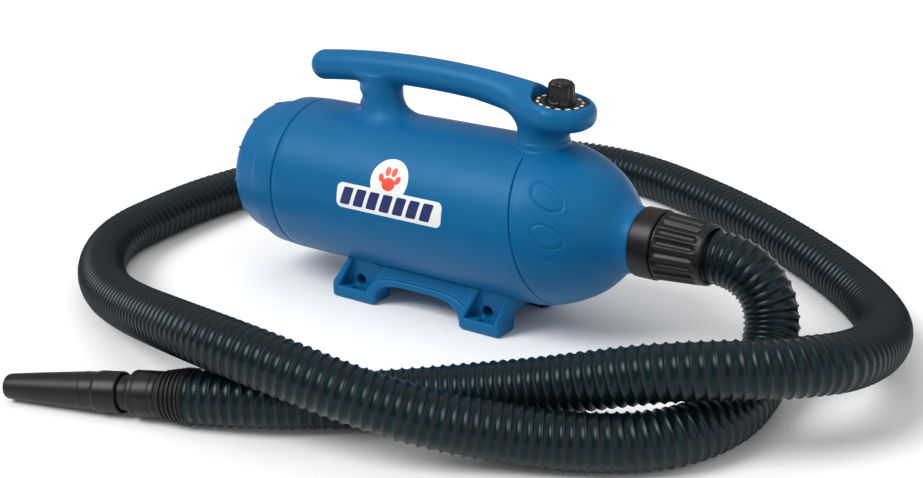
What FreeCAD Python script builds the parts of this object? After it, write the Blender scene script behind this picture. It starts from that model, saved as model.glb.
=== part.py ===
"""Pet dryer: a carried force blower with a long corrugated hose, as separate pieces.

X runs along the blower from the intake (-X) to the outlet (+X), Z is up, and the
origin is on the floor in the middle of the four screw holes of the feet.
"""
import FreeCAD, Part
import math
import os
import Sketcher

Vector = FreeCAD.Vector
X_DIR = Vector(1, 0, 0)
Y_DIR = Vector(0, 1, 0)
Z_DIR = Vector(0, 0, 1)

# Driving dimensions, in millimetres and degrees.
SIZES = {
    # tubular casing
    "axis_height": 104.6,
    "body_radius": 77.5,
    "wall": 3.0,
    "rear_seam": -156.7,
    "nose_seam": 130.9,
    "nose_tilt": 12.8,
    "rear_end": -220.0,
    "neck_end": 221.0,
    "neck_radius": 29.5,
    "duct_radius": 26.0,
    # base and feet
    "foot_outer": 100.0,
    "foot_inner": 54.0,
    "base_half_width": 55.5,
    "foot_inside": 27.0,
    "ledge_height": 12.5,
    "arch_height": 22.0,
    "pad_thickness": 3.0,
    "hole_x": 77.0,
    "hole_y": 48.5,
    "foot_hole_radius": 3.5,
    "plug_radius": 5.0,
    "slab_top": 14.0,
    "saddle_top": 64.0,
    "rear_lean": 35.0,
    "front_lean": 18.0,
    "channel_height": 20.0,
    "web_recess": 4.0,
    "web_foot": 30.0,
    "pocket_half": 17.0,
    "pocket_face": 42.0,
    "pocket_lean_near": 10.0,
    "pocket_lean_far": 44.0,
    "nose_screw_x": 100.0,
    "nose_screw_y": 14.0,
    "driver_hole_radius": 4.4,
    # handle
    "grip_radius": 15.0,
    "rear_post": -73.0,
    "front_post": 117.0,
    "dial_x": 134.3,
    "dial_z": 221.0,
    "dial_tilt": 6.0,
    "dial_radius": 25.7,
    "pod_radius": 34.0,
    "pod_thickness": 27.0,
    # speed control
    "knob_radius": 12.5,
    "knob_length": 19.0,
    "spindle_radius": 3.0,
    # fan and motor
    "fan_radius": 66.0,
    "impeller_radius": 60.0,
    "motor_radius": 46.0,
    "shaft_radius": 4.0,
    "running_gap": 0.05,
    # outlet coupling
    "collar_radius": 32.0,
    "collar_length": 21.0,
    "sleeve_end": 290.0,
    "sleeve_radius": 30.0,
    "free_gap": 0.4,
    # intake
    "grille_radius": 56.4,
    # hose and its end
    "hose_radius": 24.2,
    "hose_bore": 22.2,
    "hose_start": 285.0,
    "cuff_length": 27.0,
    "ring_length": 27.0,
    "neck_length": 11.0,
    "nozzle_collar": 23.0,
    "nozzle_cone": 91.0,
}

doc = FreeCAD.newDocument("pet_dryer")


class Size:
    """A length that knows both its value and the sheet formula it comes from."""

    def __init__(self, value, formula):
        self.value = float(value)
        self.formula = formula

    def join(self, other, sign):
        number = other.value if isinstance(other, Size) else float(other)
        words = other.formula if isinstance(other, Size) else repr(float(other))
        total = self.value + number if sign == "+" else self.value - number
        return Size(total, "(%s %s %s)" % (self.formula, sign, words))

    def __add__(self, other):
        return self.join(other, "+")

    def __sub__(self, other):
        return self.join(other, "-")

    def __mul__(self, factor):
        return Size(self.value * factor, "(%s * %r)" % (self.formula, float(factor)))

    def __neg__(self):
        return self * -1.0


def make_sheet():
    """The spreadsheet that holds every driving dimension."""
    sheet = doc.addObject("Spreadsheet::Sheet", "Sizes")
    for row, (alias, value) in enumerate(SIZES.items(), start=1):
        sheet.set("A%d" % row, alias)
        sheet.set("B%d" % row, str(value))
        sheet.setAlias("B%d" % row, alias)
    doc.recompute()
    return sheet


SHEET = make_sheet()
SUBPARTS = []


def cell(alias):
    return Size(SHEET.get(alias), "Sizes.%s" % alias)


def plain(length):
    """The bare number of a Size or a number."""
    return length.value if isinstance(length, Size) else float(length)


def bind(thing, prop, length):
    """Set a property, and bind it to the sheet when the length comes from there."""
    if isinstance(length, Size):
        thing.setExpression(prop, length.formula)
    else:
        setattr(thing, prop, float(length))


def place(thing, at, rotation=None):
    """Put an object at a point whose coordinates may be bound to the sheet."""
    spot = Vector(*[plain(c) for c in at])
    thing.Placement = FreeCAD.Placement(spot, rotation or FreeCAD.Rotation())
    for axis, coordinate in zip("xyz", at):
        if isinstance(coordinate, Size):
            thing.setExpression("Placement.Base.%s" % axis, coordinate.formula)
    return thing


def keep(thing, label):
    """Name a finished sub-part: its label is its file's name."""
    thing.Label = label
    SUBPARTS.append(thing)
    return thing


def turn_to(direction):
    """The rotation that turns a cylinder's own Z to the given direction."""
    return FreeCAD.Rotation(Z_DIR, direction)


def cylinder(radius, height, at, direction=Z_DIR):
    thing = doc.addObject("Part::Cylinder", "cylinder")
    bind(thing, "Radius", radius)
    bind(thing, "Height", height)
    return place(thing, at, turn_to(direction))


def cone(radius1, radius2, height, at, direction=Z_DIR):
    thing = doc.addObject("Part::Cone", "cone")
    bind(thing, "Radius1", radius1)
    bind(thing, "Radius2", radius2)
    bind(thing, "Height", height)
    return place(thing, at, turn_to(direction))


def box(length, width, height, at, rotation=None):
    thing = doc.addObject("Part::Box", "box")
    bind(thing, "Length", length)
    bind(thing, "Width", width)
    bind(thing, "Height", height)
    return place(thing, at, rotation)


def fuse(*things):
    thing = doc.addObject("Part::MultiFuse", "fuse")
    thing.Shapes = list(things)
    return thing


def cut(base, *tools):
    thing = doc.addObject("Part::Cut", "cut")
    thing.Base = base
    thing.Tool = tools[0] if len(tools) == 1 else fuse(*tools)
    return thing


def common(first, second):
    thing = doc.addObject("Part::Common", "common")
    thing.Base = first
    thing.Tool = second
    return thing


def group(*things):
    """Several separate like pieces kept in one node."""
    thing = doc.addObject("Part::Compound", "group")
    thing.Links = list(things)
    return thing


def origin_plane(body, role):
    return next(f for f in body.Origin.OriginFeatures if f.Role == role)


def outline_sketch(body, plane, corners):
    """A closed outline of straight edges, each corner dimensioned from the origin."""
    sketch = body.newObject("Sketcher::SketchObject", "outline")
    sketch.AttachmentSupport = (origin_plane(body, plane), "")
    sketch.MapMode = "FlatFace"
    count = len(corners)
    spots = [Vector(plain(a), plain(b), 0) for a, b in corners]
    for i in range(count):
        sketch.addGeometry(Part.LineSegment(spots[i], spots[(i + 1) % count]), False)
    for i in range(count):
        sketch.addConstraint(Sketcher.Constraint("Coincident", i, 2, (i + 1) % count, 1))
    for i, corner in enumerate(corners):
        for kind, length in zip(("DistanceX", "DistanceY"), corner):
            rule = Sketcher.Constraint(kind, -1, 1, i, 1, plain(length))
            index = sketch.addConstraint(rule)
            if isinstance(length, Size):
                sketch.setExpression("Constraints[%d]" % index, length.formula)
    return sketch


def turned(corners, at=(0, 0, 0), rotation=None):
    """A piece turned about its own X axis; corners are (along X, radius) pairs."""
    body = doc.addObject("PartDesign::Body", "turned")
    sketch = outline_sketch(body, "XZ_Plane", corners)
    feature = body.newObject("PartDesign::Revolution", "revolve")
    feature.Profile = sketch
    feature.ReferenceAxis = (sketch, ["H_Axis"])
    feature.Angle = 360.0
    body.Tip = feature
    return place(body, at, rotation)


def ring(start, end, inner, outer):
    """A plain ring on the blower's axis."""
    corners = [(start, inner), (end, inner), (end, outer), (start, outer)]
    return turned(corners, ON_AXIS)


ON_AXIS = (0, 0, cell("axis_height"))
BODY = cell("body_radius")
INSIDE = BODY - cell("wall")
HEIGHT = cell("axis_height")


def ahead_of_seam(reach):
    """A block that fills the space in front of the tilted nose seam."""
    depth = 200.0
    block = box(depth, depth * 2, depth * 2, (0, 0, 0))
    tilt = FreeCAD.Rotation(Y_DIR, -SHEET.get("nose_tilt"))
    seam = cell("nose_seam") + reach
    corner = tilt.multVec(Vector(0, -depth, -depth))
    return place(block, (seam + corner.x, corner.y, HEIGHT + corner.z), tilt)


# ---------------------------------------------------------------- casing

def make_main_housing():
    """Moulded barrel with an inner screw flange at its rear end."""
    rear = cell("rear_seam")
    length = cell("nose_seam") - rear + 30
    barrel = cylinder(BODY, length, (rear, 0, HEIGHT), X_DIR)
    hollow = cylinder(INSIDE, length + 2, (rear - 1, 0, HEIGHT), X_DIR)
    flange = ring(rear, rear + 5.5, 62, INSIDE + 0.5)
    shell = fuse(cut(barrel, hollow), flange)
    wire_hole = cylinder(7, 20, (101, 0, HEIGHT + BODY - 12))
    cord_hole = cylinder(8, 20, (-125, BODY - 12, HEIGHT), Y_DIR)
    keep(cut(shell, ahead_of_seam(0), wire_hole, cord_hole), "main_housing")


def make_rear_cover():
    """Intake end cap: a full-width band, then a stepped and rounded rim."""
    seam = cell("rear_seam")
    end = cell("rear_end")
    corners = [
        (seam, BODY), (seam - 27, BODY - 1.6), (seam - 29, BODY - 6),
        (end + 11, BODY - 9.5), (end + 4, BODY - 13), (end, BODY - 18),
        (end, 57), (end + 9, 57), (end + 16, 65), (seam - 4.5, BODY - 7),
        (seam - 4.5, 60), (seam, 60),
    ]
    keep(turned(corners, ON_AXIS), "rear_cover")


def make_nose_shell():
    """Domed outlet end that draws in to the outlet neck, with a spigot inside the barrel."""
    seam = cell("nose_seam")
    end = cell("neck_end")
    outer = [
        (seam - 25, BODY), (seam - 1, BODY), (seam + 9, BODY - 2.2), (seam + 19, BODY - 5.2),
        (seam + 29, BODY - 9.4), (seam + 39, BODY - 14.6), (seam + 48, BODY - 20.6),
        (seam + 56, BODY - 27.3), (seam + 63, BODY - 34.3), (seam + 70, BODY - 40.6),
        (seam + 78, BODY - 45.2), (end, cell("neck_radius")),
    ]
    inner = [
        (end, cell("duct_radius")), (seam + 77, BODY - 49), (seam + 68, BODY - 44.5),
        (seam + 61, BODY - 38.5), (seam + 54, BODY - 31.5), (seam + 46, BODY - 24.6),
        (seam + 37, BODY - 18.4), (seam + 28, BODY - 13), (seam + 18, BODY - 8.8),
        (seam + 8, BODY - 5.8), (seam - 1, INSIDE - 1), (seam - 25, INSIDE - 1),
    ]
    dome = turned(outer + inner, ON_AXIS)
    spigot = ring(seam - 45, seam + 4, BODY - 6.5, INSIDE - 0.2)
    shell = fuse(common(dome, ahead_of_seam(0)), spigot)
    wire_hole = cylinder(7, 20, (101, 0, HEIGHT + BODY - 14))
    keep(cut(shell, wire_hole), "nose_shell")


def leaning_block(bottom, top, across, heights):
    """A block whose ends lean along X: its X range at the bottom and at the top, and its Y and Z."""
    block = doc.addObject("Part::Wedge", "leaning_block")
    block.Xmin, block.Xmax = bottom
    block.X2min, block.X2max = top
    block.Zmin, block.Zmax = -across[1], -across[0]
    block.Z2min, block.Z2max = block.Zmin, block.Zmax
    block.Ymin, block.Ymax = heights
    return place(block, (0, 0, 0), FreeCAD.Rotation(X_DIR, 90))


def make_base():
    """Cradle moulding under the barrel: four feet joined by arches, a screw pocket in each."""
    outer = cell("foot_outer")
    inner = cell("foot_inner")
    half = cell("base_half_width")
    pad = cell("pad_thickness")
    reach = SHEET.get("foot_outer")
    side = SHEET.get("base_half_width")
    slab_top = SHEET.get("slab_top")
    overlap = 0.1
    feet = box(outer * 2, half * 2, cell("slab_top") - pad, (-outer, -half, pad))
    rear_top = -reach + SHEET.get("rear_lean")
    front_top = reach + SHEET.get("front_lean")
    saddle_z = (slab_top - overlap, SHEET.get("saddle_top"))
    saddle = leaning_block((-reach, reach), (rear_top, front_top), (-side, side), saddle_z)
    tools = [cylinder(BODY, outer * 3, (outer * -1.5, 0, HEIGHT), X_DIR)]
    tools.append(box(inner * 2, half * 3, cell("arch_height"), (-inner, half * -1.5, 0)))
    inside = cell("foot_inside")
    tools.append(box(outer * 3, inside * 2, cell("channel_height"), (outer * -1.5, -inside, 0)))
    recess = cell("web_recess")
    web_size = (inner * 2, recess * 5, cell("web_foot") * 2)
    tools.append(box(*web_size, (-inner, half - recess, cell("web_foot"))))
    tools.append(box(*web_size, (-inner, -half - recess * 4, cell("web_foot"))))
    for y_sign in (-1, 1):
        for x_sign in (-1, 1):
            tools += screw_pocket(x_sign, y_sign)
        driver_at = (cell("nose_screw_x"), cell("nose_screw_y") * y_sign, 0)
        tools.append(cylinder(cell("driver_hole_radius"), cell("saddle_top"), driver_at))
    keep(cut(fuse(feet, saddle), *tools), "base_cradle")


def screw_pocket(x_sign, y_sign):
    """The cuts for one foot's pocket: the open notch, its screw hole, and the blind plug hole."""
    ledge = SHEET.get("ledge_height")
    middle = SHEET.get("hole_x") * x_sign
    reach = SHEET.get("pocket_half")
    face = SHEET.get("pocket_face")
    beyond = SHEET.get("base_half_width") * 1.1
    deep = SHEET.get("saddle_top")
    bottom = (middle - reach, middle + reach)
    top = (middle + SHEET.get("pocket_lean_near"), middle + SHEET.get("pocket_lean_far"))
    across = sorted((y_sign * face, y_sign * beyond))
    notch = leaning_block(bottom, top, across, (ledge, deep))
    hole_at = (cell("hole_x") * x_sign, cell("hole_y") * y_sign, 0)
    hole = cylinder(cell("foot_hole_radius"), deep / 2, hole_at)
    plug_depth = 7.0
    plug_at = (middle + 2, (face - plug_depth) * y_sign, ledge + SHEET.get("plug_radius") + 0.5)
    plug = cylinder(cell("plug_radius"), plug_depth + 3, plug_at, Y_DIR * y_sign)
    return [notch, hole, plug]


def make_feet():
    """A rubber pad under each foot, with the screw hole through it."""
    names = {(-1, -1): "rear_near", (-1, 1): "rear_far", (1, -1): "front_near", (1, 1): "front_far"}
    for (x_sign, y_sign), name in names.items():
        centre_x = cell("hole_x") * x_sign
        centre_y = (cell("hole_y") - 8) * y_sign
        pad = box(38, 26, cell("pad_thickness"), (centre_x - 19, centre_y - 13, 0))
        hole_at = (centre_x, cell("hole_y") * y_sign, -1)
        hole = cylinder(cell("foot_hole_radius"), 10, hole_at)
        keep(cut(pad, hole), "rubber_foot_" + name)


# ---------------------------------------------------------------- handle

DIAL_AT = (cell("dial_x"), 0, cell("dial_z"))
DIAL_ROTATION = FreeCAD.Rotation(Y_DIR, SHEET.get("dial_tilt"))
DIAL_NORMAL = DIAL_ROTATION.multVec(Z_DIR)


def on_dial(depth):
    """A point on the dial's axis, above (+) or below (-) the dial plate's top."""
    step = DIAL_NORMAL * depth
    return (DIAL_AT[0] + step.x, 0, DIAL_AT[2] + step.z)


def bowed_bar(radius):
    """A round bar along the grip's bow, with a rounded end at its free tip."""
    tip = Vector(-144, 0, 221.5)
    crown = Vector(-20, 0, 229)
    front = Vector(100, 0, 221)
    bow = Part.Arc(tip, crown, front).toShape()
    spine = doc.addObject("Part::Feature", "bar_spine")
    spine.Shape = Part.Wire([bow])
    section = doc.addObject("Part::Circle", "bar_section")
    bind(section, "Radius", radius)
    place(section, tuple(tip), turn_to(bow.tangentAt(bow.FirstParameter)))
    bar = doc.addObject("Part::Sweep", "bar")
    bar.Sections = [section]
    bar.Spine = (spine, ["Edge1"])
    bar.Solid = True
    end = doc.addObject("Part::Sphere", "bar_tip")
    bind(end, "Radius", radius)
    place(end, tuple(tip))
    return fuse(bar, end)


def make_pod():
    """Teardrop head of the handle that carries the dial."""
    body = doc.addObject("PartDesign::Body", "pod")
    radius = cell("pod_radius")
    neck = cell("grip_radius")
    sketch = outline_sketch(body, "XY_Plane", [
        (-70, -neck), (-70, neck), (-34, neck + 7), (-10, radius - 1.2),
        (8, radius - 0.6), (22, radius - 7.5), (32, radius - 19.5), (35.5, 0),
        (32, -radius + 19.5), (22, -radius + 7.5), (8, -radius + 0.6),
        (-10, -radius + 1.2), (-34, -neck - 7),
    ])
    pad = body.newObject("PartDesign::Pad", "pad")
    pad.Profile = sketch
    bind(pad, "Length", cell("pod_thickness"))
    body.Tip = pad
    return place(body, on_dial(2.5 - SHEET.get("pod_thickness")), DIAL_ROTATION)


def make_handle():
    """Grip, two posts and the dial pod as one moulding that sits on the casing."""
    rear_x = cell("rear_post")
    front_x = cell("front_post")
    top = HEIGHT + BODY
    rear_post = cylinder(19.5, 58, (rear_x, 0, top - 12))
    rear_flare = cone(30, 19.5, 24, (rear_x, 0, top - 10))
    front_post = cone(28, 24.5, 40, (front_x, 0, top - 12))
    grip = bowed_bar(cell("grip_radius"))
    blank = fuse(grip, make_pod(), rear_post, rear_flare, front_post)
    grip_core = bowed_bar(cell("grip_radius") - cell("wall"))
    post_core = cylinder(14, 40, (rear_x, 0, top + 6))
    trim_top = ring(cell("rear_end"), cell("neck_end"), 0, BODY)
    recess = cylinder(cell("dial_radius") + 0.3, 10, on_dial(-1.5), DIAL_NORMAL)
    pocket = cylinder(16, 20, on_dial(-17), DIAL_NORMAL)
    passage = cylinder(6, 60, (96, 0, top - 8), Vector(28, 0, 34))
    keep(cut(blank, trim_top, recess, pocket, passage, grip_core, post_core), "handle")


def make_speed_control():
    """Dial plate, potentiometer under it, and the fluted knob on its spindle."""
    hole = cell("spindle_radius") + 0.5
    plate = cylinder(cell("dial_radius"), 1.5, on_dial(-1.5), DIAL_NORMAL)
    keep(cut(plate, cylinder(hole, 6, on_dial(-3), DIAL_NORMAL)), "dial_plate")
    case = cylinder(12, 9, on_dial(-10.8), DIAL_NORMAL)
    bore = cylinder(cell("spindle_radius") + cell("running_gap"), 8, on_dial(-7), DIAL_NORMAL)
    keep(cut(case, bore), "speed_potentiometer")
    keep(cylinder(cell("spindle_radius"), 14, on_dial(-6.8), DIAL_NORMAL), "knob_spindle")
    skirt = cell("knob_radius")
    knob = cone(skirt, skirt - 2, cell("knob_length"), on_dial(0.5), DIAL_NORMAL)
    tools = [cylinder(cell("spindle_radius"), 6.7, on_dial(0.5), DIAL_NORMAL)]
    flutes = 12
    for i in range(flutes):
        angle = 2 * math.pi * i / flutes
        spoke = Vector(math.cos(angle), math.sin(angle), 0) * (SHEET.get("knob_radius") + 0.7)
        offset = DIAL_ROTATION.multVec(spoke)
        start = on_dial(3)
        at = (start[0] + offset.x, offset.y, start[2] + offset.z)
        tools.append(cylinder(1.9, 30, at, DIAL_NORMAL))
    keep(cut(knob, *tools), "speed_knob")


# ---------------------------------------------------------------- intake

def make_intake():
    """Pull-out intake set: slotted grille, foam filter and the frame that holds it."""
    end = cell("rear_end")
    radius = cell("grille_radius")
    body = doc.addObject("PartDesign::Body", "grille")
    plate = body.newObject("Sketcher::SketchObject", "plate")
    plate.AttachmentSupport = (origin_plane(body, "YZ_Plane"), "")
    plate.MapMode = "FlatFace"
    plate.addGeometry(Part.Circle(Vector(0, 0, 0), Z_DIR, radius.value), False)
    plate.addConstraint(Sketcher.Constraint("Coincident", 0, 3, -1, 1))
    rule = plate.addConstraint(Sketcher.Constraint("Radius", 0, radius.value))
    plate.setExpression("Constraints[%d]" % rule, radius.formula)
    pad = body.newObject("PartDesign::Pad", "pad")
    pad.Profile = plate
    pad.Length = 3.5
    body.Tip = pad
    doc.recompute()
    for inner, outer, count in ((14, 30, 12), (34, 51, 24)):
        slot = outline_sketch(body, "YZ_Plane", [
            (inner, -1.7), (outer, -1.7), (outer, 1.7), (inner, 1.7)])
        pocket = body.newObject("PartDesign::Pocket", "slot")
        pocket.Profile = slot
        pocket.Type = "ThroughAll"
        pocket.Midplane = True
        around = body.newObject("PartDesign::PolarPattern", "slots")
        around.Originals = [pocket]
        around.Axis = (slot, ["N_Axis"])
        around.Occurrences = count
        around.Angle = 360.0
        body.Tip = around
        doc.recompute()
    place(body, (end + 2, 0, HEIGHT))
    keep(body, "intake_grille")
    frame = [
        (end + 5.5, radius - 3), (end + 22, radius - 3), (end + 22, radius), (end + 5.5, radius)]
    keep(turned(frame, ON_AXIS), "filter_frame")
    foam = [(end + 5.5, 0), (end + 17.5, 0), (end + 17.5, radius - 3.2), (end + 5.5, radius - 3.2)]
    keep(turned(foam, ON_AXIS), "foam_filter")


# ---------------------------------------------------------------- fan and motor

def make_fan_unit():
    """Two-stage fan: shroud, fixed diffuser between the stages, and two impellers."""
    radius = cell("fan_radius")
    shroud = [
        (-150, 28), (-150, radius), (-92, radius), (-92, 20), (-95, 20), (-95, 50),
        (-97, 50), (-97, radius - 2), (-148, radius - 2), (-148, 28)]
    keep(turned(shroud, ON_AXIS), "fan_shroud")
    keep(ring(-125.5, -122.5, 22, radius - 2), "diffuser_plate")
    keep(ring(-146, -136, radius, INSIDE), "rear_motor_mount")
    for name, start in (("impeller_first", -145), ("impeller_second", -119.5)):
        make_impeller(name, start)
    keep(ring(-149.5, -145.2, cell("shaft_radius"), 7), "impeller_nut")


def make_impeller(name, start):
    """Closed impeller: back plate, front plate with its eye, and swept vanes between."""
    rim = cell("impeller_radius")
    hub = ring(start, start + 17, cell("shaft_radius"), 11)
    back = ring(start + 15.5, start + 17, 10, rim)
    front = ring(start, start + 1.5, 26, rim)
    vanes = []
    count = 9
    for i in range(count):
        vane = box(36, 1.6, 15, (0, 0, 0))
        lean = FreeCAD.Rotation(X_DIR, 360.0 * i / count)
        stand = lean.multiply(FreeCAD.Rotation(Vector(0, -0.5, 1), Vector(0, -0.5, 1)))
        root = lean.multVec(Vector(start + 1, 6, 22))
        sweep = stand.multiply(FreeCAD.Rotation(X_DIR, 25)).multiply(FreeCAD.Rotation(Y_DIR, -90))
        place(vane, (root.x + 15, root.y, HEIGHT + root.z), sweep)
        vanes.append(vane)
    keep(fuse(hub, back, front, *vanes), name)


def make_motor():
    """Brushed motor behind the fan: frame, stator, rotor, commutator, brushes and bearings."""
    radius = cell("motor_radius")
    shaft = cell("shaft_radius")
    frame = ring(-92, 30, radius - 2.5, radius)
    windows = []
    for angle in (45, 135, 225, 315):
        side = FreeCAD.Rotation(X_DIR, angle)
        corner = side.multVec(Vector(0, -11, 20))
        windows.append(box(26, 22, 40, (0, corner.y, HEIGHT + corner.z), side))
        windows.append(box(20, 22, 40, (-86, corner.y, HEIGHT + corner.z), side))
    keep(cut(frame, *windows), "motor_frame")
    core = ring(-52, -12, 24, radius - 2.5)
    windows = [box(44, 34, 13, (-54, -17, HEIGHT + z)) for z in (26, -39)]
    keep(cut(core, *windows), "stator_core")
    keep(group(ring(-60, -52, 26, 40), ring(-12, -4, 26, 40)), "stator_coils")
    keep(ring(-56, -8, shaft, 23.3), "rotor_core")
    keep(ring(4, 28, shaft, 13), "commutator")
    keep(cylinder(shaft, 196, (-149.9, 0, HEIGHT), X_DIR), "motor_shaft")
    bracket = [
        (30, 5), (30, radius), (34, radius), (34, 14), (54, 14), (54, 11), (36, 11), (36, 5)]
    keep(turned(bracket, ON_AXIS), "front_bracket")
    bore = shaft + cell("running_gap")
    keep(ring(36, 46, bore, 11), "front_bearing")
    keep(ring(-91, -82, bore, 11), "rear_bearing")
    seat = [(-92, 11), (-92, 30), (-89, 30), (-89, 19.5), (-80, 19.5), (-80, 11)]
    keep(turned(seat, ON_AXIS), "rear_bearing_seat")
    brushes = []
    for side, name in ((-1, "near"), (1, "far")):
        start = 13.3 if side > 0 else -31.3
        holder = box(14, 20, 12, (9, 24 * side - 10, HEIGHT - 6))
        slot = box(8, 40, 6, (12, 24 * side - 20, HEIGHT - 3))
        keep(cut(holder, slot), "brush_holder_" + name)
        brushes.append(box(7.6, 18, 5.6, (12.2, start, HEIGHT - 2.8)))
    keep(group(*brushes), "carbon_brushes")


def make_motor_supports():
    """Rubber mount and three-armed spider that hold the motor's front end, and its foam lining."""
    keep(ring(42, 54, 14, 22), "front_motor_mount")
    hub = ring(43, 53, 22, 27)
    arms = []
    for angle in (0, 120, 240):
        lean = FreeCAD.Rotation(X_DIR, angle)
        corner = lean.multVec(Vector(0, -6, 25))
        arms.append(box(10, 12, 60, (43, corner.y, HEIGHT + corner.z), lean))
    trim = ring(40, 56, 22, INSIDE)
    keep(common(fuse(hub, *arms), trim), "front_spider")
    keep(ring(-90, 40, 60, INSIDE), "acoustic_foam")


def make_electrics():
    """Speed control board with its heat sink, the lead to the dial, and the cord entry bush."""
    keep(box(46, 56, 1.6, (60, -28, HEIGHT + 44)), "control_board")
    posts = [cylinder(2.5, 25.6, (x, y, HEIGHT + 45.6)) for x in (64, 80) for y in (-20, 20)]
    keep(group(*posts), "board_standoffs")
    sink = box(30, 34, 14, (66, -17, HEIGHT + 30))
    slots = [box(32, 3, 11, (65, -17 + 2.5 + 5.5 * i, HEIGHT + 28)) for i in range(6)]
    keep(cut(sink, *slots), "heat_sink")
    lead = cylinder(2.2, 43, (96.5, 0, HEIGHT + BODY - 6), Vector(28, 0, 34))
    drop = cylinder(2.2, 26.5, (96.5, 0, HEIGHT + 45.6))
    keep(fuse(lead, drop), "dial_lead")
    bush = [(-8, 4), (-8, 11), (-3.2, 11), (-3.2, 8), (0.2, 8), (0.2, 12), (9, 9), (9, 4)]
    turn = FreeCAD.Rotation(X_DIR, Y_DIR)
    keep(turned(bush, (-125, BODY, HEIGHT), turn), "cord_entry_bush")


def screw(at, direction, length, head):
    """A pan-head screw: head radius and shank length given, head on the near side."""
    shank = cylinder(2, length, at, direction)
    back = direction * -2.4
    top = tuple(coordinate + step for coordinate, step in zip(at, back))
    return fuse(shank, cylinder(head, 2.4, top, direction))


def make_screws():
    """Fasteners, one node for each like group."""
    seam = cell("rear_seam")
    around = [(67 * math.cos(a), 67 * math.sin(a)) for a in (0.785, 2.356, 3.927, 5.498)]
    rear = [screw((seam - 4.5, y, HEIGHT + z), X_DIR, 9.5, 3.6) for y, z in around]
    keep(group(*rear), "rear_cover_screws")
    nose_x, nose_y = SHEET.get("nose_screw_x"), SHEET.get("nose_screw_y")
    low = [screw((nose_x, y, HEIGHT - BODY + 2.4), Z_DIR, 9, 3.6) for y in (-nose_y, nose_y)]
    keep(group(*low), "nose_screws")
    top = HEIGHT + BODY
    down = [screw((x, 0, top - 3.0), Z_DIR, 16, 3.6) for x in (-84, -62)]
    keep(group(*down), "handle_screws")
    ends = [(38 * math.cos(a), 38 * math.sin(a)) for a in (0.0, 2.094, 4.189)]
    front = [screw((34, y, HEIGHT + z), -X_DIR, 3.8, 3.0) for y, z in ends]
    keep(group(*front), "motor_screws")


# ---------------------------------------------------------------- label

def make_label():
    """Thin film label that follows the barrel's side: a bar with a round badge above it."""
    skin = ring(-80, 60, BODY, BODY + 0.3)
    facing = FreeCAD.Rotation(X_DIR, 90 - 25)
    outward = facing.multVec(Z_DIR)
    start = outward * 40
    bar = box(124, 24, 60, (0, 0, 0), facing)
    corner = facing.multVec(Vector(-62, -30, 0)) + start
    place(bar, (corner.x - 9, corner.y, HEIGHT + corner.z), facing)
    middle = facing.multVec(Vector(-3, 4, 0)) + start
    badge = cylinder(22, 60, (middle.x - 9, middle.y, HEIGHT + middle.z), outward)
    keep(common(skin, fuse(bar, badge)), "side_label")


# ---------------------------------------------------------------- outlet and hose

def make_coupling():
    """Plain collar on the outlet neck and the fluted sleeve that twists on it."""
    start = cell("neck_end")
    seat = start + cell("collar_length")
    hose = cell("hose_start")
    collar = [
        (start, cell("duct_radius")), (start, cell("collar_radius") - 1),
        (start + 1, cell("collar_radius")), (seat, cell("collar_radius")), (seat, 22),
        (hose - 6, 22), (hose - 6, 24), (hose, 24), (hose, 19.5), (start + 8, 19.5)]
    keep(turned(collar, ON_AXIS), "outlet_collar")
    sleeve_start = seat + cell("free_gap")
    end = cell("sleeve_end")
    outer = cell("sleeve_radius")
    bore = cell("hose_radius") + cell("free_gap")
    sleeve = turned([
        (sleeve_start, bore), (sleeve_start, outer), (sleeve_start + 40, outer - 1.5),
        (end, outer - 3.2), (end, bore)], ON_AXIS)
    flutes = []
    count = 20
    for i in range(count):
        angle = 2 * math.pi * i / count
        radius = SHEET.get("sleeve_radius") + 1.2
        at = (sleeve_start + 3.5, radius * math.cos(angle), HEIGHT + radius * math.sin(angle))
        flutes.append(cylinder(2.6, 36, at, X_DIR))
    keep(cut(sleeve, *flutes), "coupling_sleeve")


FLOOR = SHEET.get("hose_radius") + 0.3
# The hose's route, chosen by hand: out of the coupling, down to the floor, round in
# front over its own return run, behind the blower, and back over its first run.
HOSE_ROUTE = [
    (285, 0, 104.6), (305, 0, 104.6), (326, 0, 97), (343, -1, 80), (352, -8, 57), (357, -26, 38),
    (362, -52, 27), (366, -78, FLOOR), (369, -113, FLOOR), (362, -150, FLOOR),
    (344, -184, FLOOR), (313, -211, FLOOR), (271, -233, 25), (233, -254, 31), (198, -275, 39),
    (165, -291, 48), (129, -306, 58), (89, -316, 68), (43, -321, 75), (-11, -318, 76),
    (-86, -294, 64), (-165, -260, 46), (-239, -225, 32), (-302, -182, 26), (-347, -133, FLOOR),
    (-371, -84, FLOOR), (-377, -28, FLOOR), (-379, 36, FLOOR), (-371, 88, FLOOR),
    (-356, 160, FLOOR), (-325, 232, FLOOR), (-272, 300, FLOOR), (-200, 352, FLOOR),
    (-118, 378, FLOOR), (-40, 386, FLOOR), (28, 373, FLOOR), (109, 339, FLOOR),
    (187, 299, FLOOR), (262, 250, FLOOR), (328, 199, FLOOR), (379, 146, 28), (420, 80, 37),
    (440, 7, 51), (444, -68, 70), (426, -102, 75), (404, -128, 77), (377, -149, 78),
    (348, -165, 76), (316, -177, 70), (278, -187, 59), (232, -196, 45), (182, -208, 33),
    (132, -232, 25), (90, -266, FLOOR), (51, -296, 26), (14, -317, 27), (-22, -329, FLOOR),
]


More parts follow.
